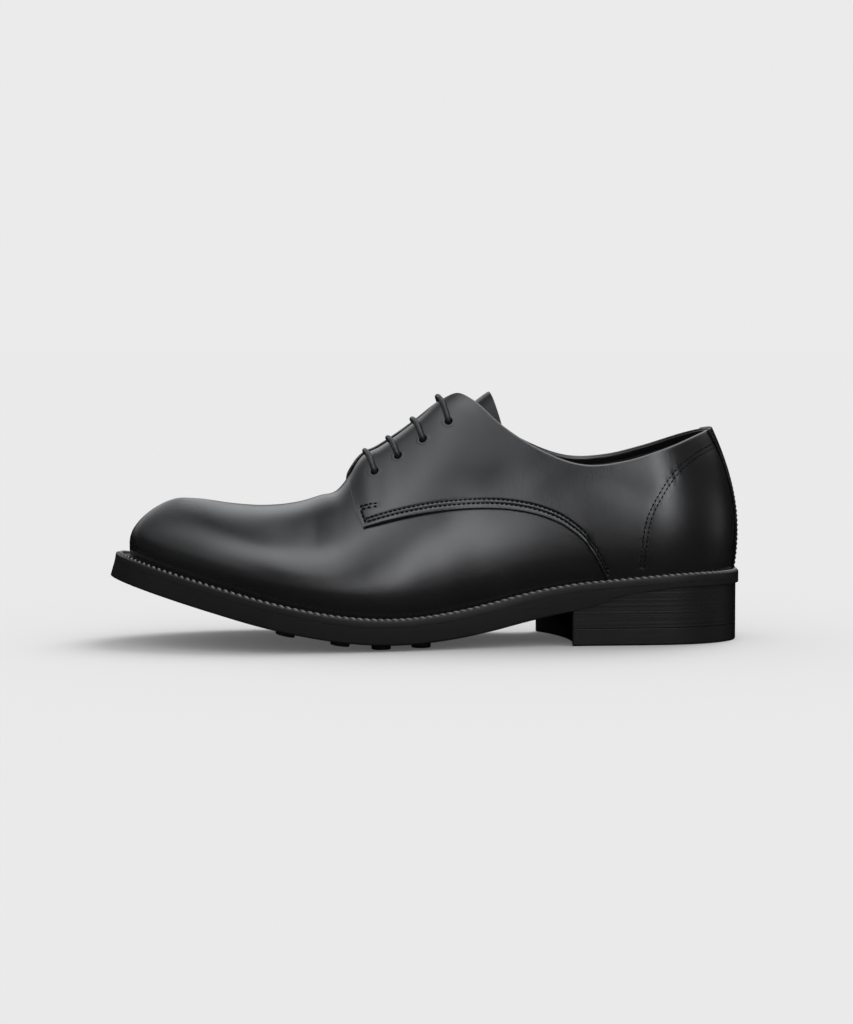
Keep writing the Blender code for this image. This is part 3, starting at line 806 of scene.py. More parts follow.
def seam_row(side, inset):
    """Turn and rise of a row of stitches at a distance inside a quarter's lower edge."""
    turn, rise, up, along, _, _ = quarter_grid(side)
    row_turn, row_rise, left = at_inset(inset, up, turn, rise)
    front = along[np.arange(len(left)), left]
    wanted = (front > SEAM_INSETS[0]) & (rise[:, 0] > LAYER_FOOT + 0.001)
    return row_turn[wanted], row_rise[wanted]


def side_row(source, side, gap=0.0, count=80):
    """Turn and rise of a row given in side view, moved square to itself by a gap."""
    share = np.linspace(0, 1, len(source["from_heel"]))
    fine = np.linspace(0, 1, count)
    line = {"share": share, "from_heel": source["from_heel"], "height": source["height"]}
    at = smooth(line, "from_heel", fine, key="share")
    height = smooth(line, "height", fine, key="share")
    along = np.gradient(at)
    up = np.gradient(height)
    size = np.hypot(along, up)
    return on_upper(at + gap * up / size, height - gap * along / size, side)


@functools.lru_cache(maxsize=None)
def quarter_rows(side):
    """All rows of stitches on a quarter."""
    rows = [seam_row(side, inset) for inset in SEAM_INSETS]
    rows += [side_row(BAR_TACK, side), side_row(BAR_TACK, side, TACK_GAP), side_row(TACK_DOWN, side)]
    rows += [side_row(COUNTER_ROW, side), side_row(COUNTER_ROW, side, COUNTER_GAP)]
    return rows


def nearest(points, lines):
    """Distance of every point of a grid from the nearest point of some lines."""
    targets = np.concatenate(lines)
    flat = points.reshape(-1, 3)
    squares = (flat ** 2).sum(1)[:, None] + (targets ** 2).sum(1)[None, :] - 2 * flat @ targets.T
    return np.sqrt(np.maximum(squares.min(1), 0)).reshape(points.shape[:-1])


def stitches(turn, rise, out, sizes):
    """Rows of single stitches: each is a tube along the row whose middle lies just over the
    leather and whose ends dive into it, by a parabola of the share along the stitch."""
    pitch = sizes.stitch_pitch / MM
    length = sizes.stitch_length / MM
    radius = sizes.thread / MM / 2
    run = length_along(skin(turn, rise, out))
    count = max(int(run[-1] / pitch), 1)
    start = (np.arange(count) + 0.5) * run[-1] / count
    share = np.linspace(-1, 1, 7)
    at = start[:, None] + share[None, :] * length / 2
    stitch_turn = np.interp(at, run, turn)
    stitch_rise = np.interp(at, run, rise)
    lift = out + radius * (0.55 - 2.0 * share[None, :] ** 2)
    centre = skin(stitch_turn, stitch_rise, lift)
    above = skin(stitch_turn, stitch_rise, lift + 1.0) - centre
    along = unit(np.gradient(centre, axis=1))
    across = unit(np.cross(along, above))
    slim = radius * np.sqrt(1.02 - share ** 2 * 0.75)[None, :, None, None]
    return tubes(rings_round(centre, across, np.cross(across, along), slim, STITCH_SIDES))


def rings_round(centre, across, above, radius, sides):
    """Circles round the points of lines, between two directions square to each other."""
    cosine, sine = circle(sides)
    return centre[..., None, :] + radius * (cosine[:, None] * across[..., None, :]
                                            + sine[:, None] * above[..., None, :])


def tubes(rings):
    """Faces of many tubes with closed ends, from an array of tube, station, side and axis."""
    count, stations, sides = rings.shape[:3]
    station = np.arange(stations - 1)[:, None]
    side = np.arange(sides)[None, :]
    a = station * sides + side
    b = station * sides + (side + 1) % sides
    walls = np.stack([a, b, b + sides, a + sides], axis=-1).reshape(-1, 4)
    first = (np.arange(count) * stations * sides)[:, None, None]
    faces = (walls[None] + first).reshape(-1, 4).tolist()
    cap = np.arange(sides)
    faces += (cap[None, :] + first[:, 0]).tolist()
    faces += (cap[None, ::-1] + (stations - 1) * sides + first[:, 0]).tolist()
    return rings.reshape(-1, 3), faces


def joined_rows(rows, out, sizes):
    """Stitches of several rows as one shape."""
    return joined([stitches(turn, rise, out, sizes) for turn, rise in rows])


def furrows(points, rows, out, depth):
    """How deep the leather sinks at its stitches: a bell curve of the distance from the nearest."""
    return depth * np.exp(-(nearest(points, [skin(*row, out) for row in rows]) / FURROW_WIDTH) ** 2)


def eyelet_spots(side):
    """Turn and rise of the four eyelets of one side."""
    return on_upper(EYELETS["from_heel"], EYELETS["height"], side)


def around_spot(turn, rise, right, up, out):
    """Points at small distances to the right of and above a spot on the upper, along its surface."""
    step = 0.004
    spot = skin(turn, rise, QUARTER_OUT)
    by_turn = (skin(turn + step, rise, QUARTER_OUT) - spot) / step
    by_rise = (skin(turn, rise + step, QUARTER_OUT) - spot) / step
    ahead = unit(by_turn)
    lean = by_rise @ ahead
    height = np.linalg.norm(by_rise - lean * ahead)
    rise_step = up / height
    turn_step = (right - rise_step * lean) / np.linalg.norm(by_turn)
    return skin(turn + turn_step, rise + rise_step, out)


def eyelet_ring(turn, rise):
    """Punched edge of an eyelet: a closed profile of radius and height, turned round the hole."""
    profile = np.array([
        (3.35, -0.10), (3.30, 0.00), (3.00, 0.02), (2.40, 0.02), (1.95, 0.00), (1.75, -0.10),
        (1.62, -0.30), (1.60, -0.60), (1.60, -1.50), (2.30, -1.50), (3.20, -0.60),
    ])
    cosine, sine = circle(EYELET_SIDES)
    points = around_spot(turn, rise, profile[:, 0] * cosine[:, None], profile[:, 0] * sine[:, None],
                         QUARTER_OUT + profile[:, 1])
    points = np.concatenate([points, points[:, :1]], axis=1)
    return points, grid_faces(EYELET_SIDES, len(profile) + 1, closed=True)


def add_vamp(look):
    """Vamp and the upper's inner body."""
    points, faces = body_wall(170, 60, VAMP_OUT, VAMP_IN, 0.004)
    add_piece("vamp", points, faces, look["leather"], ("upper",), sharp=60, merge=0.00003)
    points, faces = body_wall(120, 36, LINING_OUT, LINING_IN, 0.03)
    add_piece("lining", points, faces, look["lining"], sharp=60, merge=0.00003)


def add_quarters(look):
    """Outer and inner quarter with their eyelets."""
    for name, side in (("quarter_lateral", 1), ("quarter_medial", -1)):
        turn, rise, up, along, down, behind = quarter_grid(side)
        points = skin(turn, rise, QUARTER_OUT)
        cells = (points[:-1, :-1] + points[1:, 1:]) / 2
        eyes = eyelet_spots(side)
        from_eye = nearest(cells, [skin(eyes[0], eyes[1], QUARTER_OUT)])
        collar = np.clip((rib(turn, rise)[0] - COLLAR_STARTS) / COLLAR_BLEND, 0, 1)
        lean = np.exp(-(np.minimum(down, along) / FACING_LEAN_REACH) ** 2) * collar
        lean = lean * FACING_LEAN * -side
        share = least((up, 0.5), (along, 0.5), (down, 1.2), (behind, 0.3))
        furrow = furrows(points, quarter_rows(side), QUARTER_OUT, QUARTER_FURROW)
        parts = [shell(turn, rise, QUARTER_OUT - furrow + lean, QUARTER_IN + lean, share,
                       keep=from_eye > EYELET_CUT)]
        parts += [eyelet_ring(*spot) for spot in zip(*eyes)]
        points, faces = joined(parts)
        # The front and top edges are painted lighter: a painted highlight along the rims, partly rubbed
        # leather too. The lower edge stays dark.
        rim_highlight = np.exp(-(np.minimum(along, down) / RUBBED_AND_HIGHLIGHT_WIDTH) ** 2)
        rubbed_and_highlight = np.zeros(len(points))
        rubbed_and_highlight[:rim_highlight.size] = rim_highlight.ravel()
        add_piece(name + "_leather", points, faces, look["leather"], (name,), sharp=60,
                  values={"rubbed_and_highlight": rubbed_and_highlight})


def strip_grid():
    """Grid of the strip over the back seam: each row lies at one rise and reaches the strip's edge
    in side view on both sides."""
    rises = np.linspace(-1, 1, 200)
    edges = {}
    for side in (1, -1):
        height = np.linspace(28.0, 106.0, 90)
        turn, rise = on_upper(smooth(STRIP_EDGE, "from_heel", height, key="height"), height, side)
        edges[side] = np.interp(rises, rise, turn)
    top = {side: opening_rise(np.array([side * BACK_SEAM]))[0] for side in (1, -1)}
    share = crowded(70.0, ROUND_STEPS, ROUND_STEPS, 70)[0]
    across = crowded(30.0, SEAM_STEPS, SEAM_STEPS, 20)[0] * 2 - 1
    rise = np.broadcast_to(LAYER_FOOT + (top[1] - LAYER_FOOT) * share, (len(across), len(share)))
    outer = np.interp(rise, rises, edges[1])
    inner = np.interp(rise, rises, edges[-1])
    turn = np.where(across[:, None] > 0, outer * across[:, None], inner * -across[:, None])
    limit = opening_rise(turn[:, -1])
    rise = LAYER_FOOT + (limit[:, None] - LAYER_FOOT) * share[None, :]
    return turn, rise


def add_back_strip(look, sizes):
    """Strip over the back seam with a row of stitches near each edge."""
    turn, rise = strip_grid()
    points = skin(turn, rise, STRIP_OUT)
    up = length_along(points, axis=1)
    along = length_along(points, axis=0)
    far = along[-1:] - along
    share = least((up, 0.4), (up[:, -1:] - up, 0.9), (along, 0.4), (far, 0.4))
    rows = [at_inset(STRIP_SEAM_INSET, along.T, turn.T, rise.T)[:2],
            at_inset(STRIP_SEAM_INSET, far.T[:, ::-1], turn.T[:, ::-1], rise.T[:, ::-1])[:2]]
    furrow = furrows(points, rows, STRIP_OUT, STRIP_FURROW)
    points, faces = shell(turn, rise, STRIP_OUT - furrow, STRIP_IN, share)
    add_piece("back_strip_leather", points, faces, look["leather"], ("back_strip",), sharp=60)
    points, faces = joined_rows([(t[2:-2], r[2:-2]) for t, r in rows], STRIP_OUT - 0.15, sizes)
    add_piece("back_strip_thread", points, faces, look["thread"], merge=0.0)


def tongue_point(along, across):
    """Turn, rise and sag of the tongue: along runs from its root to its free end, across from one
    side edge over the ridge to the other. The free end leans back towards its sides."""
    rise = 1 - (1 - TONGUE_LOW) * np.abs(across)
    place_along = TONGUE_ROOT + (TONGUE_TIP - TONGUE_ROOT) * along
    fall = (1 - np.sin(rise * math.pi / 2)) / (1 - math.sin(TONGUE_LOW * math.pi / 2))
    from_heel = place_along - TONGUE_LEAN * along * fall
    side = np.where(across >= 0, 1.0, -1.0)
    return turn_at(from_heel, rise, side), rise, smooth(TONGUE_SAG, "sag", from_heel)


def tongue_layer(out, inside, columns, rows):
    """Closed sheet of the tongue between two depths, its edges rounded."""
    along = crowded(72.0, ROUND_STEPS, SEAM_STEPS, columns)[0]
    across = crowded(52.0, ROUND_STEPS, ROUND_STEPS, rows)[0] * 2 - 1
    u, v = np.meshgrid(along, across, indexing="ij")
    turn, rise, sag = tongue_point(u, v)
    base = skin(turn, rise, out, sag)
    run = length_along(base, axis=0)
    over = length_along(base, axis=1)
    share = least((run, 0.4), (run[-1:] - run, 0.45), (over, 0.4), (over[:, -1:] - over, 0.4))
    return shell(turn, rise, out, inside, share, sag)


def add_tongue(look):
    """Tongue in two layers, leather over its lining."""
    top = -UPPER_WALL - TONGUE_CLEAR
    points, faces = tongue_layer(top, top - 1.0, 50, 40)
    add_piece("tongue_leather_sheet", points, faces, look["tongue"], ("tongue",), sharp=60)
    points, faces = tongue_layer(top - 1.04, top - 1.8, 40, 30)
    add_piece("tongue_lining", points, faces, look["lining"], sharp=60)


def welt_slope(from_heel):
    """Rise of the welt's top face for each millimetre towards the toe."""
    step = 0.5
    ahead = smooth(PLAN, "welt_top", from_heel + step)
    return (ahead - smooth(PLAN, "welt_top", from_heel - step)) / (2 * step)


def sole_under(from_heel, gap):
    """Height a gap below the sole's under face, its thickness measured square to the slope."""
    thick = WELT_THICK + gap + smooth(SOLE, "thick", from_heel)
    return smooth(PLAN, "welt_top", from_heel) - thick * np.hypot(welt_slope(from_heel), 1)


def sole_point(turn, inset, depth):
    """Point at a depth under the welt's top face, square to the sole's side line."""
    from_heel, side = inset_rim(turn, inset)
    slope = welt_slope(from_heel)
    size = np.hypot(slope, 1)
    return place(from_heel + depth * slope / size, side,
                 smooth(PLAN, "welt_top", from_heel) - depth / size)


def even_turns(count):
    """Turns at equal distances along the welt's edge."""
    turns = np.linspace(0, 2 * math.pi, 6001)
    run = length_along(np.stack(rim(turns), axis=-1))
    return np.interp(np.arange(count) / count * run[-1], run, turns), run[-1]


def add_welt(look, sizes):
    """Welt with a row of pressed teeth. Its profile goes round the shoe, and the bead's height is
    a share of a half ellipse that swings along the edge with the teeth's pitch and slant."""
    length = even_turns(10)[1]
    teeth = round(length / (sizes.tooth_pitch / MM))
    turns, _ = even_turns(teeth * TOOTH_STEPS)
    centre = BEAD_INSET + 0.25 * (smooth(LAST, "inset", heel_distance(turns)) - 3.2)
    bead = np.linspace(-1, 1, BEAD_POINTS)
    arch = np.sqrt(1 - bead ** 2)
    inset_bead = centre[:, None] + BEAD_WIDTH * bead
    phase = np.arange(teeth * TOOTH_STEPS)[:, None] / TOOTH_STEPS - TOOTH_SLANT * bead
    tooth = 0.5 + 0.5 * np.cos(2 * math.pi * phase)
    height = (TOOTH_LOW + TOOTH_HIGH * tooth ** 0.8) * arch
    ones = np.ones((len(turns), 1))
    before = np.array([
        (0.1, 3.3), (0.02, 3.25), (0.0, 3.1), (0.0, 0.5), (0.04, 0.3), (0.14, 0.15), (0.32, 0.1),
    ])
    after = np.array([(0.35, 0.12), (1.2, 0.12)])
    inner = np.array([(WELT_WIDTH, 0.12), (WELT_WIDTH, 3.3)])
    flat = centre[:, None] + BEAD_WIDTH + after[:, 0]
    inset = np.concatenate([before[:, 0] * ones, inset_bead, flat,
                            inner[:, 0] * ones, before[:1, 0] * ones], axis=1)
    depth = np.concatenate([before[:, 1] * ones, 0.1 - height, after[:, 1] * ones,
                            inner[:, 1] * ones, before[:1, 1] * ones], axis=1)
    points = sole_point(turns[:, None], inset, depth)
    columns = inset.shape[1] - 1
    faces = np.concatenate([grid_faces(len(turns), columns, closed=True), last_column(len(turns), columns)])
    # The teeth's crests are coloured lighter.
    tooth_crest = np.zeros((len(turns), columns))
    tooth_crest[:, len(before):len(before) + len(bead)] = tooth ** 2 * arch
    add_piece("welt_strip", points[:, :-1], faces, look["welt"], ("welt",), sharp=50,
              values={"tooth_crest": tooth_crest.ravel()})


def stud_shape():
    """Round stud as a turned profile with a rounded rim and a shallow ring in its face."""
    profile = np.array([
        (0.0, 0.25), (2.2, 0.25), (2.4, 0.0), (3.9, 0.0), (4.3, 0.1), (4.5, 0.4), (4.6, 3.2), (0.0, 3.2),
    ])
    cosine, sine = circle(STUD_SIDES)
    return np.stack([profile[:, 0] * cosine[:, None], profile[:, 0] * sine[:, None],
                     profile[:, 1] + 0 * cosine[:, None]], axis=-1)


def add_outsole(look):
    """Sole: a closed profile between mirrored turns, from edge to edge and back, with studs."""
    turns = np.linspace(0, math.pi, 260)
    start = WELT_THICK + 0.02
    from_heel = rim(turns)[0]
    thick = smooth(SOLE, "thick", from_heel)
    edge = np.array([(0.12, 0.0), (0.02, 0.04), (0.0, 0.15), (0.0, 0.4)])
    foot = np.array([(0.0, 1.1), (0.06, 0.65), (0.3, 0.3), (0.7, 0.08), (1.3, 0.0)])
    soft = 0.2 + 0.8 * np.clip((from_heel - 82) / 16, 0, 1)[:, None]
    under_edge = start + thick[:, None] - foot[:, 1] * soft
    inset = np.concatenate([edge[:, 0] + 0 * soft, foot[:, 0] * soft], axis=1)
    depth = np.concatenate([start + edge[:, 1] + 0 * soft, under_edge], axis=1)
    outer = sole_point(turns[:, None], inset, depth)
    inner = sole_point(-turns[:, None], inset, depth)
    share = np.linspace(0, 1, 26)[None, 1:-1, None]
    under = outer[:, -1:] * (1 - share) + inner[:, -1:] * share
    over = inner[:, :1] * (1 - share) + outer[:, :1] * share
    ring = np.concatenate([outer, under, inner[:, ::-1], over, outer[:, :1]], axis=1)
    parts = [(ring, grid_faces(len(turns), ring.shape[1]))]
    shape = stud_shape()
    for at, side in zip(STUDS["from_heel"], STUDS["side"]):
        slope = float(welt_slope(at))
        bottom = float(sole_under(at, 0.3))
        if FLOOR_STUDS[0] <= at <= FLOOR_STUDS[1]:
            low, lean = 0.0, 0.0
        else:
            low, lean = bottom - (STUD_HEIGHT if at < TOE_STUDS else TOE_STUD_HEIGHT), slope
        spot = place(at + (bottom - low) * lean, side, low)
        forward = np.array([0.0, -1.0, lean]) / math.hypot(1, lean)
        upward = np.array([0.0, lean, 1.0]) / math.hypot(1, lean)
        sideways = np.array([1.0, 0.0, 0.0])
        points = spot + shape[..., :1] * sideways + shape[..., 1:2] * forward + shape[..., 2:] * upward
        parts.append((points, grid_faces(STUD_SIDES, shape.shape[1], closed=True)))
    points, faces = joined(parts)
    add_piece("sole_rubber", points, faces, look["rubber"], ("outsole",), sharp=40)


def heel_loop():
    """Outline of the heel in plan, round its back and along the hollow breast, its two corners
    rounded by averaging each point with its neighbours."""
    turns = np.linspace(turn_of(BREAST_OUTER), -turn_of(BREAST_INNER), 900)
    around = np.stack(inset_rim(turns, HEEL_INSET), axis=-1)
    share = np.linspace(0, 1, 200)[1:-1, None]
    breast = around[-1] * (1 - share) + around[0] * share
    breast[:, 0] -= BREAST_BOW * (1 - (2 * share[:, 0] - 1) ** 2)
    loop = np.concatenate([around, breast, around[:1]])
    run = length_along(loop)
    count = 480
    at = np.arange(count) / count * run[-1]
    loop = np.stack([np.interp(at, run, loop[:, 0]), np.interp(at, run, loop[:, 1])], axis=-1)
    weights = np.array([1, 2, 3, 2, 1]) / 9.0
    return sum(weight * np.roll(loop, shift, axis=0) for weight, shift in zip(weights, range(-2, 3)))


def drum(loop, levels, floor, roof):
    """Closed solid on a plan: side rows at an inset and a share of the height between floor and
    roof, then both faces drawn in to the middle."""
    tangent = unit(np.roll(loop, -1, axis=0) - np.roll(loop, 1, axis=0))
    inward = np.stack([tangent[:, 1], -tangent[:, 0]], axis=-1)
    centre = loop.mean(0)
    if ((centre - loop) * inward).sum() < 0:
        inward = -inward
    rings = []
    for inset, above_floor, below_roof in levels:
        plan = loop + inward * inset
        height = np.where(np.isnan(above_floor), roof(plan[:, 0]) - below_roof, floor + above_floor)
        rings.append(place(plan[:, 0], plan[:, 1], height))
    for shrink in (0.6, 0.25, 0.0):
        plan = centre + (loop - centre) * shrink
        rings.append(place(plan[:, 0], plan[:, 1], roof(plan[:, 0]) - levels[-1][2]))
        rings.insert(0, place(plan[:, 0], plan[:, 1], floor + levels[0][1] + 0 * plan[:, 0]))
    points = np.stack(rings, axis=1)
    return points, grid_faces(len(loop), points.shape[1], closed=True)


def add_heel(look):
    """Stacked heel under the sole, and the top piece on the floor."""
    loop = heel_loop()
    none = float("nan")
    levels = [(0.2, 0.0, 0.0), (0.05, 0.05, 0.0), (0.0, 0.2, 0.0), (0.0, 0.3, 0.0)]
    levels += [(0.0, none, 0.4), (0.0, none, 0.3), (0.04, none, 0.1), (0.15, none, 0.0)]
    points, faces = drum(loop, levels, LIFT_THICK + 0.1, lambda from_heel: sole_under(from_heel, 0.1))
    add_piece("heel_stack", points, faces, look["heel"], ("heel_block",))
    levels = [(0.8, 0.0, 0.0), (0.3, 0.12, 0.0), (0.05, 0.45, 0.0), (0.0, 0.9, 0.0), (0.0, 1.1, 0.0),
              (0.0, LIFT_THICK - 0.3, 0.0), (0.0, LIFT_THICK - 0.2, 0.0),
              (0.05, LIFT_THICK - 0.05, 0.0), (0.2, LIFT_THICK, 0.0)]
    points, faces = drum(loop, levels, 0.0, lambda from_heel: LIFT_THICK + 0 * from_heel)
    add_piece("heel_top_piece", points, faces, look["lift"], ("top_lift",))


def add_sock(look):
    """Sock over the insole: rungs between the lining's two sides, hollowed a little in the middle."""
    rungs, columns = 150, 41
    turns = np.linspace(0, math.pi, rungs)
    low = np.full(rungs, SOCK_RISE)
    outer = skin(turns, low, LINING_IN - 0.1)
    inner = skin(-turns, low, LINING_IN - 0.1)
    share = np.linspace(0, 1, columns)
    across = share[None, :, None]
    top = outer[:, None] * (1 - across) + inner[:, None] * across
    hollow = np.sin(math.pi * share) ** 0.5 * np.sin(turns)[:, None] ** 0.5
    top[..., 2] += SOCK_LIFT - SOCK_HOLLOW * hollow
    under = top - np.array([0.0, 0.0, SOCK_THICK])
    faces = grid_faces(rungs, columns)
    offset = rungs * columns
    row = np.arange(rungs - 1)[:, None] * columns + np.array([0, columns - 1])
    sides = np.stack([row, row + columns, row + columns + offset, row + offset], axis=-1)
    points = np.concatenate([top.reshape(-1, 3), under.reshape(-1, 3)])
    faces = np.concatenate([faces, faces + offset, sides.reshape(-1, 4)])
    add_piece("sock", points, faces, look["sock"], ("insole",))


def bar_points(index, over):
    """One lace bar from the outer eyelet over the gap to the inner one. The taut cord presses into
    the facings' edges by the fourth power of its share of the way."""
    points = []
    shares = np.linspace(0.12, 1, 6)
    for side, share in ((1, shares), (-1, shares[::-1])):
        rise = eyelet_spots(side)[1]
        rises = rise[index] + (BAR_CREST - rise[index]) * share
        turns = turn_at(EYELETS["from_heel"][index] + BAR_RUN * share, rises, side)
        points.append(skin(turns, rises, over - BAR_DIP * share ** 4))
    return np.concatenate(points)


def lace_route(over, under):
    """The lace as one cord in straight bars: from the third eyelet's inner side round all four
    bars, with its hidden runs under the facings, to the top eyelet."""
    holes = {side: eyelet_spots(side) for side in (1, -1)}

    def hole(side, index, heights):
        turn, rise = holes[side]
        heights = np.array(heights)
        return skin(turn[index] + 0 * heights, rise[index] + 0 * heights, heights)

    def hidden(side, start, end):
        turn, rise = holes[side]
        share = np.linspace(0.2, 0.8, 4)
        return skin(turn[start] + (turn[end] - turn[start]) * share,
                    rise[start] + (rise[end] - rise[start]) * share, under)

    down = (1.9, 0.4, -1.6, under)
    up = down[::-1]
    route = [hidden(1, 3, 2)[:3]]
    for index, side, after in ((2, 1, 0), (0, -1, 1), (1, 1, 3), (3, -1, None)):
        bar = bar_points(index, over)
        route += [hole(side, index, up), bar if side > 0 else bar[::-1], hole(-side, index, down)]
        if after is not None:
            route.append(hidden(-side, index, after))
    return np.concatenate(route)


def through(points, spacing):
    """Even points along the smooth curve through given ones."""
    run = length_along(points)
    fine = np.linspace(0, run[-1], 2400)
    source = {"run": run, "x": points[:, 0], "y": points[:, 1], "z": points[:, 2]}
    curve = np.stack([smooth(source, axis, fine, key="run") for axis in "xyz"], axis=-1)
    run = length_along(curve)
    at = np.linspace(0, run[-1], int(run[-1] / spacing))
    return np.stack([np.interp(at, run, curve[:, axis]) for axis in range(3)], axis=-1)


def add_lace(look, sizes):
    """Round waxed cord: a circle carried along the lace's route, square to it."""
    radius = sizes.lace_radius / MM
    route = through(lace_route(QUARTER_OUT + radius + 0.1, LACE_UNDER), LACE_STEP)
    along = unit(np.gradient(route, axis=0))
    right = unit(np.cross(along, np.array([0.31, 0.77, 0.56])))
    points, faces = tubes(rings_round(route, right, np.cross(right, along), radius, LACE_SIDES)[None])
    cosine, sine = circle(LACE_SIDES)
    count = len(route)
    braid = np.stack([np.tile(cosine, count), np.tile(sine, count),
                      np.repeat(length_along(route), LACE_SIDES)], axis=-1)
    bars = tuple(f"lace_bar_{number}" for number in range(1, 5))
    add_piece("lace", points, faces, look["cord"], bars, values={"braid": braid})


def add_threads(look, sizes):
    """Stitches of both quarters."""
    for name, side in (("thread_lateral", 1), ("thread_medial", -1)):
        points, faces = joined_rows(quarter_rows(side), QUARTER_OUT - 0.2, sizes)
        add_piece(name, points, faces, look["thread"], merge=0.0)


class Number:
    """A socket with one number. Arithmetic on it adds Math nodes."""

    def __init__(self, finish, socket):
        self.finish = finish
        self.socket = socket

    def math(self, operation, *others):
        return self.finish.node("ShaderNodeMath", {"operation": operation}, [self, *others])

    def __add__(self, other):
        return self.math("ADD", other)

    __radd__ = __add__

    def __mul__(self, other):
        return self.math("MULTIPLY", other)

    __rmul__ = __mul__

    def __sub__(self, other):
        return self.math("SUBTRACT", other)

    def __rsub__(self, other):
        return self.finish.node("ShaderNodeMath", {"operation": "SUBTRACT"}, [other, self])

    def __pow__(self, other):
        return self.math("POWER", other)


class Finish:
    """A material whose nodes are made by one method."""

    def __init__(self, name):
        self.material = bpy.data.materials.new(name)
        self.material.use_nodes = True
        self.tree = self.material.node_tree
        self.shader = self.tree.nodes["Principled BSDF"]

    def node(self, kind, settings=None, inputs=(), output=0):
        """Make a node, set its settings, then its sockets by name or order. Returns one output."""
        made = self.tree.nodes.new(kind)
        for key, value in (settings or {}).items():
            setattr(made, key, value)
        pairs = inputs.items() if isinstance(inputs, dict) else enumerate(inputs)
        for key, value in pairs:
            self.plug(made.inputs[key], value)
        return Number(self, made.outputs[output])

    def plug(self, socket, value):
        """Link a socket to another node's output, or set its value."""
        if isinstance(value, Number):
            self.tree.links.new(value.socket, socket)
        else:
            socket.default_value = value

    def noise(self, where, scale, detail=2.0, roughness=0.5):
        """Noise from 0 to 1 whose patches are about a unit divided by the scale."""
        inputs = {"Vector": where, "Scale": scale, "Detail": detail, "Roughness": roughness}
        return self.node("ShaderNodeTexNoise", {}, inputs)

    def blend(self, share, first, second):
        """Colour between two colours."""
        sockets = {0: share, 6: first, 7: second}
        return self.node("ShaderNodeMix", {"data_type": "RGBA"}, sockets, output=2)

    def axes(self, vector):
        """The three numbers of a vector."""
        return [self.node("ShaderNodeSeparateXYZ", {}, [vector], output=axis) for axis in range(3)]

    def bump(self, height, distance):
        """Normal of a height field, in metres times the distance."""
        return self.node("ShaderNodeBump", {}, {"Height": height, "Distance": distance, "Strength": 1.0})

    def where(self):
        """Place on the piece."""
        return self.node("ShaderNodeTexCoord", output="Object")

    def value(self, name, output="Fac"):
        """An attribute of the piece's points."""
        return self.node("ShaderNodeAttribute", {"attribute_name": name}, output=output)

    def cells(self, where, scale, feature="F1"):
        """Distances in a pattern of cells."""
        return self.node("ShaderNodeTexVoronoi", {"feature": feature}, {"Vector": where, "Scale": scale})

    def mottled(self, share, colour, dark, light):
        """Colour that goes from a darker to a lighter one."""
        return self.blend(share, shade(colour, dark), shade(colour, light))

    def surface(self, **values):
        """Set sockets of the shader. Underscores stand for spaces."""
        for key, value in values.items():
            self.plug(self.shader.inputs[key.replace("_", " ")], value)
        return self.material


def shade(colour, factor=1.0):
    """Colour with its alpha, made darker or lighter."""
    return (colour[0] * factor, colour[1] * factor, colour[2] * factor, 1.0)


def polished_leather(name, look, coat, shine=0.5):
    """Polished calf: fine pores in a faint network, and a skin that is not quite even."""
    finish = Finish(name)
    where = finish.where()
    pores = finish.cells(where, 1500.0, "DISTANCE_TO_EDGE")
    network = finish.cells(where, 620.0)
    uneven = finish.noise(where, 90.0, 3.0, 0.55)
    patches = finish.noise(where, 34.0, 2.0, 0.5)
    grains = finish.noise(where, 1300.0, 2.0, 0.6)
    rubbed_and_highlight = finish.value("rubbed_and_highlight")
    height = pores * 0.35 + network * 0.12 + grains * 0.8 + uneven * 0.3
    normal = finish.bump(height, 0.00012)
    colour = finish.mottled(patches, look.leather_colour, 0.8, 1.25)
    # Rims are painted towards the rim colour: a painted highlight, partly rubbed leather too.
    colour = finish.blend(rubbed_and_highlight * 0.8, colour, shade(look.rim_highlight_colour))
    roughness = look.leather_roughness + uneven * 0.05 + patches * 0.05
    return finish.surface(Base_Color=colour, Roughness=roughness, Coat_Weight=coat,
                          Coat_Roughness=look.coat_roughness, Specular_IOR_Level=shine, Normal=normal)


def matt_leather(name, colour, roughness):
    """Lining leather: a dry surface with pores."""
    finish = Finish(name)
    where = finish.where()
    pores = finish.cells(where, 900.0)
    patches = finish.noise(where, 60.0, 3.0, 0.6)
    normal = finish.bump(pores + patches * 0.8, 0.00008)
    return finish.surface(Base_Color=finish.mottled(patches, colour, 0.75, 1.3),
                          Roughness=roughness + patches * 0.1, Specular_IOR_Level=0.15, Normal=normal)


def dull_rubber(name, colour, roughness, lines=0.0, shine=0.2):
    """Rubber or edge ink: fine speckle, and where asked faint level lines left by trimming."""
    finish = Finish(name)
    where = finish.where()
    speckle = finish.noise(where, 1400.0, 2.0, 0.6)
    patches = finish.noise(where, 45.0, 3.0, 0.6)
    height = speckle * 0.5 + patches * 0.6
    if lines:
        squeezed = finish.node("ShaderNodeMapping", {}, {"Vector": where, "Scale": (6.0, 6.0, 900.0)})
        height = height + finish.noise(squeezed, 1.0, 2.0, 0.5) * lines
    normal = finish.bump(height, 0.00007)
    return finish.surface(Base_Color=finish.mottled(patches, colour, 0.8, 1.25),
                          Roughness=roughness + patches * 0.1, Specular_IOR_Level=shine, Normal=normal)


def toothed_welt(name, look):
    """The welt's ink, lighter and smoother on the teeth's crests."""
    finish = Finish(name)
    where = finish.where()
    tooth_crest = finish.value("tooth_crest")
    patches = finish.noise(where, 160.0, 3.0, 0.6)
    share = tooth_crest * (patches * 0.8 + 0.5)
    colour = finish.blend(share, shade(look.welt_colour), shade(look.crest_colour))
    normal = finish.bump(finish.noise(where, 1400.0, 2.0, 0.6), 0.00005)
    return finish.surface(Base_Color=colour, Roughness=0.42 - tooth_crest * 0.08, Specular_IOR_Level=0.3,
                          Normal=normal)


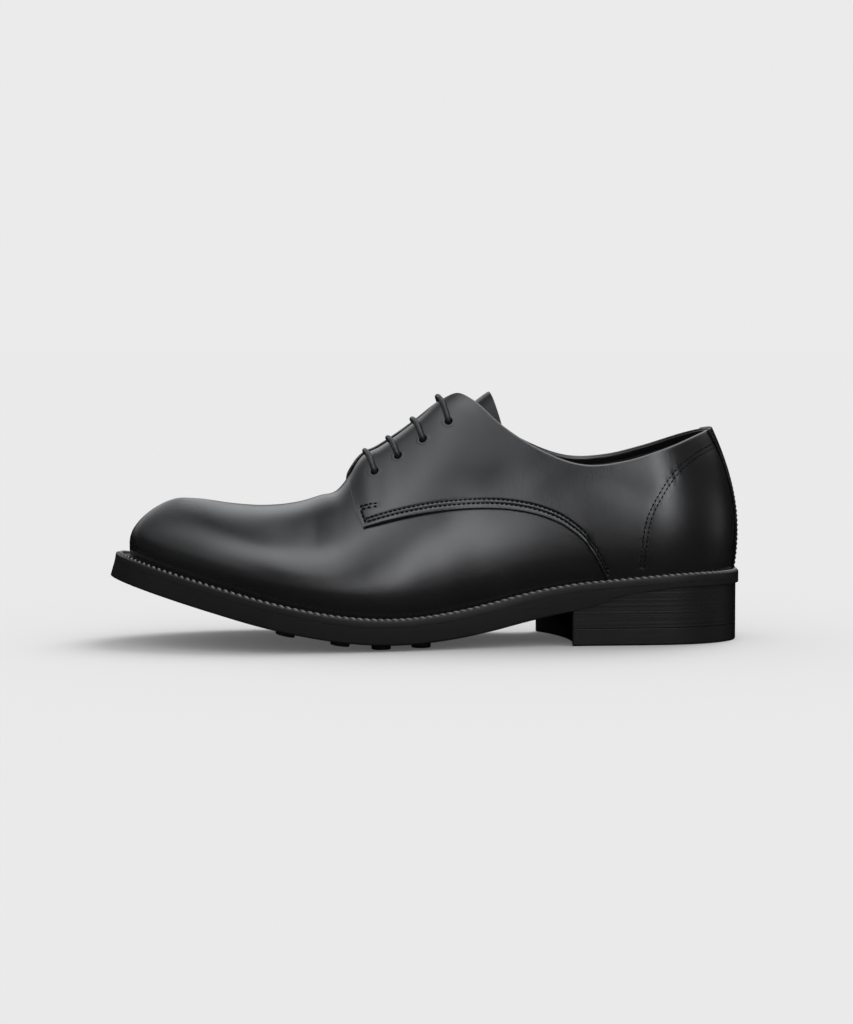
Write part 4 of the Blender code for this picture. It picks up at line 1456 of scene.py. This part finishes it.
def waxed_cord(name, colour):
    """Braid of the lace: two helices that cross, worked out from the cord's own angle and length."""
    finish = Finish(name)
    across, upward, run = finish.axes(finish.value("braid", "Vector"))
    angle = upward.math("ARCTAN2", across)
    left = (angle * 4.0 + run * 5.2).math("SINE")
    right = (angle * 4.0 - run * 5.2).math("SINE")
    strands = left * right
    normal = finish.bump(strands, 0.00009)
    return finish.surface(Base_Color=finish.mottled(strands * 0.5 + 0.5, colour, 0.7, 1.3),
                          Roughness=0.36, Normal=normal)


def plain_thread(name, colour):
    """Thread of the seams."""
    finish = Finish(name)
    where = finish.where()
    twist = finish.noise(where, 3000.0, 1.0, 0.5)
    return finish.surface(Base_Color=finish.mottled(twist, colour, 0.3, 0.7), Roughness=0.6,
                          Specular_IOR_Level=0.05)


FINISHES = {}


def finishes(context):
    """All materials of the shoe, by the piece that they dress. They are made at their first use."""
    if FINISHES:
        return FINISHES
    look = context.scene.shoe_look
    FINISHES["leather"] = polished_leather("polished_leather", look, look.coat)
    FINISHES["tongue"] = polished_leather("tongue_finish", look, 0.0, shine=0.22)
    FINISHES["lining"] = matt_leather("lining_leather", look.lining_colour, 0.55)
    FINISHES["sock"] = matt_leather("sock_leather", look.lining_colour, 0.5)
    FINISHES["welt"] = toothed_welt("welt_finish", look)
    FINISHES["rubber"] = dull_rubber("sole_finish", look.sole_colour, 0.5, lines=0.8)
    FINISHES["heel"] = dull_rubber("heel_finish", look.sole_colour, 0.34, lines=1.5, shine=0.3)
    FINISHES["lift"] = dull_rubber("lift_finish", look.sole_colour, 0.36, lines=0.6, shine=0.3)
    FINISHES["cord"] = waxed_cord("waxed_cord", look.cord_colour)
    FINISHES["thread"] = plain_thread("seam_thread", look.cord_colour)
    return FINISHES


class ShoeSizes(bpy.types.PropertyGroup):
    """Sizes that a user would change."""

    stitch_pitch: bpy.props.FloatProperty(
        name="Stitch pitch", description="From one stitch to the next", default=0.0022,
        unit="LENGTH", precision=5)
    stitch_length: bpy.props.FloatProperty(
        name="Stitch length", description="Length of one stitch", default=0.0020,
        unit="LENGTH", precision=5)
    thread: bpy.props.FloatProperty(
        name="Thread", description="Thickness of the thread", default=0.0007, unit="LENGTH", precision=5)
    lace_radius: bpy.props.FloatProperty(
        name="Lace radius", description="Half the cord's thickness", default=0.00131,
        unit="LENGTH", precision=5)
    tooth_pitch: bpy.props.FloatProperty(
        name="Tooth pitch", description="From one tooth of the welt to the next", default=0.0033,
        unit="LENGTH", precision=5)


class ShoeLook(bpy.types.PropertyGroup):
    """Colours and gloss."""

    leather_colour: bpy.props.FloatVectorProperty(
        name="Leather", description="Colour of the polished leather", subtype="COLOR",
        default=(0.009, 0.009, 0.010))
    # Painted highlight: the rims' colour is lighter to stand for light along the edges, partly rubbed
    # leather too.
    rim_highlight_colour: bpy.props.FloatVectorProperty(
        name="Rims", description="Colour of the leather's cut and rubbed edges", subtype="COLOR",
        default=(0.17, 0.17, 0.172))
    leather_roughness: bpy.props.FloatProperty(
        name="Leather roughness", description="Softness of the leather's shine", default=0.18,
        subtype="FACTOR")
    coat: bpy.props.FloatProperty(
        name="Polish", description="Weight of the polish over the leather", default=0.35,
        subtype="FACTOR")
    coat_roughness: bpy.props.FloatProperty(
        name="Polish roughness", description="Softness of the polish's shine", default=0.18,
        subtype="FACTOR")
    lining_colour: bpy.props.FloatVectorProperty(
        name="Lining", description="Colour of lining and sock", subtype="COLOR",
        default=(0.007, 0.007, 0.007))
    welt_colour: bpy.props.FloatVectorProperty(
        name="Welt", description="Colour of the welt", subtype="COLOR", default=(0.010, 0.010, 0.011))
    # Colour of the teeth's crests, lighter than the welt.
    crest_colour: bpy.props.FloatVectorProperty(
        name="Worn welt", description="Colour of the welt's teeth", subtype="COLOR",
        default=(0.33, 0.325, 0.315))
    sole_colour: bpy.props.FloatVectorProperty(
        name="Sole", description="Colour of sole and heel", subtype="COLOR",
        default=(0.0085, 0.0085, 0.009))
    cord_colour: bpy.props.FloatVectorProperty(
        name="Cord", description="Colour of lace and thread", subtype="COLOR",
        default=(0.012, 0.012, 0.0125))


class StageLook(bpy.types.PropertyGroup):
    """Camera and room."""

    azimuth: bpy.props.FloatProperty(
        name="Azimuth", description="Camera's turn round the shoe", default=math.radians(85.4),
        subtype="ANGLE")
    distance: bpy.props.FloatProperty(
        name="Distance", description="Camera's distance in plan", default=1.25, unit="LENGTH")
    height: bpy.props.FloatProperty(
        name="Height", description="Camera's height over the floor", default=0.14, unit="LENGTH")
    tilt: bpy.props.FloatProperty(
        name="Tilt", description="Camera's angle below level", default=math.radians(3.62),
        subtype="ANGLE")
    lens: bpy.props.FloatProperty(
        name="Lens", description="Focal length on a 36 mm film", default=92.5, unit="CAMERA")
    room_colour: bpy.props.FloatVectorProperty(
        name="Room", description="Colour of floor and background", subtype="COLOR",
        default=(0.83, 0.83, 0.828))
    light_colour: bpy.props.FloatVectorProperty(
        name="Light", description="Colour of the dome's light", subtype="COLOR",
        default=(0.96, 0.98, 1.0))
    dome_radius: bpy.props.FloatProperty(
        name="Dome", description="Radius of the light dome", default=2.5, unit="LENGTH")


class SHOE_OT_upper(bpy.types.Operator):
    """Make the vamp with the upper's body, and its lining"""

    bl_idname = "shoe.upper"
    bl_label = "Vamp and lining"

    def execute(self, context):
        add_vamp(finishes(context))
        return {"FINISHED"}


class SHOE_OT_quarters(bpy.types.Operator):
    """Make both quarters and their stitches"""

    bl_idname = "shoe.quarters"
    bl_label = "Quarters"

    def execute(self, context):
        add_quarters(finishes(context))
        add_threads(finishes(context), context.scene.shoe_sizes)
        return {"FINISHED"}


class SHOE_OT_back_strip(bpy.types.Operator):
    """Make the strip over the back seam"""

    bl_idname = "shoe.back_strip"
    bl_label = "Back strip"

    def execute(self, context):
        add_back_strip(finishes(context), context.scene.shoe_sizes)
        return {"FINISHED"}


class SHOE_OT_tongue(bpy.types.Operator):
    """Make the tongue in its two layers"""

    bl_idname = "shoe.tongue"
    bl_label = "Tongue"

    def execute(self, context):
        add_tongue(finishes(context))
        return {"FINISHED"}


class SHOE_OT_lace(bpy.types.Operator):
    """Run the lace through the eyelets"""

    bl_idname = "shoe.lace"
    bl_label = "Lace"

    def execute(self, context):
        add_lace(finishes(context), context.scene.shoe_sizes)
        return {"FINISHED"}


class SHOE_OT_sock(bpy.types.Operator):
    """Make the sock over the insole"""

    bl_idname = "shoe.sock"
    bl_label = "Sock"

    def execute(self, context):
        add_sock(finishes(context))
        return {"FINISHED"}


class SHOE_OT_welt(bpy.types.Operator):
    """Make the welt with its pressed teeth"""

    bl_idname = "shoe.welt"
    bl_label = "Welt"

    def execute(self, context):
        add_welt(finishes(context), context.scene.shoe_sizes)
        return {"FINISHED"}


class SHOE_OT_sole(bpy.types.Operator):
    """Make the outsole with its studs, and the heel"""

    bl_idname = "shoe.sole"
    bl_label = "Sole and heel"

    def execute(self, context):
        add_outsole(finishes(context))
        add_heel(finishes(context))
        return {"FINISHED"}


def lobe(azimuth, centre, power):
    """Light round one azimuth: half of one more than the cosine of the turn from it, to a power."""
    turned = (azimuth - math.radians(centre)).math("COSINE")
    return (turned * 0.5 + 0.5) ** power


def add_dome(look):
    """Dome of light that only shows in reflections. Its emission is a sum of lights, each a lobe in
    azimuth times a smooth step up and another down in elevation. The colour holds the sum as a
    share of the brightest glow, so the strength stays the same all over."""
    cosine, sine = (part[:, None] for part in circle(DOME_SIDES))
    elevation = np.radians(np.linspace(-6, 90, DOME_ROWS))
    level = np.cos(elevation)
    points = np.stack([sine * level, -cosine * level, np.sin(elevation) + 0 * cosine], axis=-1)
    faces = grid_faces(DOME_SIDES, DOME_ROWS, closed=True)
    mesh = make_mesh("light_dome", points * look.dome_radius / MM, faces)
    finish = Finish("light_dome")
    x, y, z = finish.axes(finish.where())
    round_dome = x.math("ARCTAN2", y * -1.0)
    up = (z * (1.0 / look.dome_radius)).math("ARCSINE")

    def step(start, end):
        edges = [up, math.radians(start), math.radians(end), 0.0, 1.0]
        return finish.node("ShaderNodeMapRange", {"interpolation_type": "SMOOTHSTEP"}, edges)

    glow = 0.0
    for centre, power, low, high, strength in LIGHTS:
        band = step(*low) * (1.0 - step(*high))
        glow = glow + lobe(round_dome, centre, power) * band * strength
    colour = finish.blend(glow * (1.0 / BRIGHTEST), BLACK, shade(look.light_colour))
    mesh.materials.append(finish.surface(Base_Color=BLACK, Roughness=1.0, Specular_IOR_Level=0.0,
                                         Emission_Color=colour, Emission_Strength=BRIGHTEST))
    dome = add_object("light_dome", mesh)
    for ray in ("camera", "diffuse", "shadow", "transmission"):
        setattr(dome, "visible_" + ray, False)


class SHOE_OT_stage(bpy.types.Operator):
    """Make the floor, the room, the light dome and the camera"""

    bl_idname = "shoe.stage"
    bl_label = "Stage"

    def execute(self, context):
        look = context.scene.stage_look
        add_floor(look)
        add_room(context.scene, look)
        add_lights(look)
        add_camera(look)
        return {"FINISHED"}


def add_floor(look):
    """Pale floor, a wide disc under the shoe."""
    cosine, sine = (part[:, None] for part in circle(FLOOR_SIDES))
    radius = np.array([0.0, 0.5, 2.0, 10.0, 60.0])
    points = np.stack([radius * cosine, radius * sine, 0 * radius * cosine], axis=-1) / MM
    mesh = make_mesh("floor", points, grid_faces(FLOOR_SIDES, len(radius), closed=True))
    mesh.materials.append(Finish("floor_finish").surface(
        Base_Color=(FLOOR_GREY, FLOOR_GREY, FLOOR_GREY, 1.0), Roughness=0.9, Specular_IOR_Level=0.0,
        Emission_Color=shade(look.room_colour), Emission_Strength=FLOOR_GLOW))
    floor = add_object("floor", mesh)
    floor.visible_glossy = False


def add_room(scene, look):
    """Even pale room that lights matt surfaces and leaves reflections to the dome."""
    world = bpy.data.worlds.new("room")
    world.use_nodes = True
    ground = world.node_tree.nodes["Background"]
    ground.inputs["Color"].default_value = shade(look.room_colour)
    ground.inputs["Strength"].default_value = 1.0
    world.cycles_visibility.glossy = False
    scene.world = world
    scene.view_settings.view_transform = "Standard"


def add_lights(look):
    """Wide sun for the floor's soft shadow, and the dome that shows in the leather."""
    sun = bpy.data.lights.new("ceiling", "SUN")
    sun.energy = SUN_STRENGTH
    sun.angle = math.radians(SUN_WIDTH)
    lamp = add_object("ceiling", sun)
    lamp.visible_glossy = False
    lamp.rotation_euler = Vector(SUN_TRAVEL).to_track_quat("-Z", "Y").to_euler()
    add_dome(look)


def add_camera(look):
    """Camera at the photograph's angle to the shoe."""
    data = bpy.data.cameras.new("camera")
    data.lens = look.lens
    data.sensor_width = 36.0
    camera = add_object("camera", data)
    to_side = math.sin(look.azimuth) * look.distance
    to_toe = math.cos(look.azimuth) * look.distance
    camera.location = (to_side, -to_toe, look.height)
    camera.rotation_euler = (math.pi / 2 - look.tilt, 0.0, look.azimuth)
    bpy.context.scene.camera = camera


STEPS = (SHOE_OT_stage, SHOE_OT_upper, SHOE_OT_quarters, SHOE_OT_back_strip, SHOE_OT_tongue, SHOE_OT_lace,
         SHOE_OT_sock, SHOE_OT_welt, SHOE_OT_sole)


class SHOE_PT_sidebar(bpy.types.Panel):
    """Lists the steps in the sidebar"""

    bl_label = "Derby shoe"
    bl_space_type = "VIEW_3D"
    bl_region_type = "UI"
    bl_category = "Shoe"

    def draw(self, context):
        for step in STEPS:
            self.layout.operator(step.bl_idname)
        for key in ("shoe_sizes", "shoe_look", "stage_look"):
            group = getattr(context.scene, key)
            for name in group.__annotations__:
                self.layout.prop(group, name)


CLASSES = (ShoeSizes, ShoeLook, StageLook, *STEPS, SHOE_PT_sidebar)


def register():
    """Register the classes and hang the settings on the scene."""
    for item in CLASSES:
        bpy.utils.register_class(item)
    bpy.types.Scene.shoe_sizes = bpy.props.PointerProperty(type=ShoeSizes)
    bpy.types.Scene.shoe_look = bpy.props.PointerProperty(type=ShoeLook)
    bpy.types.Scene.stage_look = bpy.props.PointerProperty(type=StageLook)


def unregister():
    """Undo register."""
    for key in ("shoe_sizes", "shoe_look", "stage_look"):
        delattr(bpy.types.Scene, key)
    for item in reversed(CLASSES):
        bpy.utils.unregister_class(item)


def main():
    """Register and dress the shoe."""
    register()
    bpy.ops.shoe.stage()
    bpy.ops.shoe.upper()
    bpy.ops.shoe.quarters()
    bpy.ops.shoe.back_strip()
    bpy.ops.shoe.tongue()
    bpy.ops.shoe.lace()
    bpy.ops.shoe.sock()
    bpy.ops.shoe.welt()
    bpy.ops.shoe.sole()


if __name__ == "__main__":
    main()
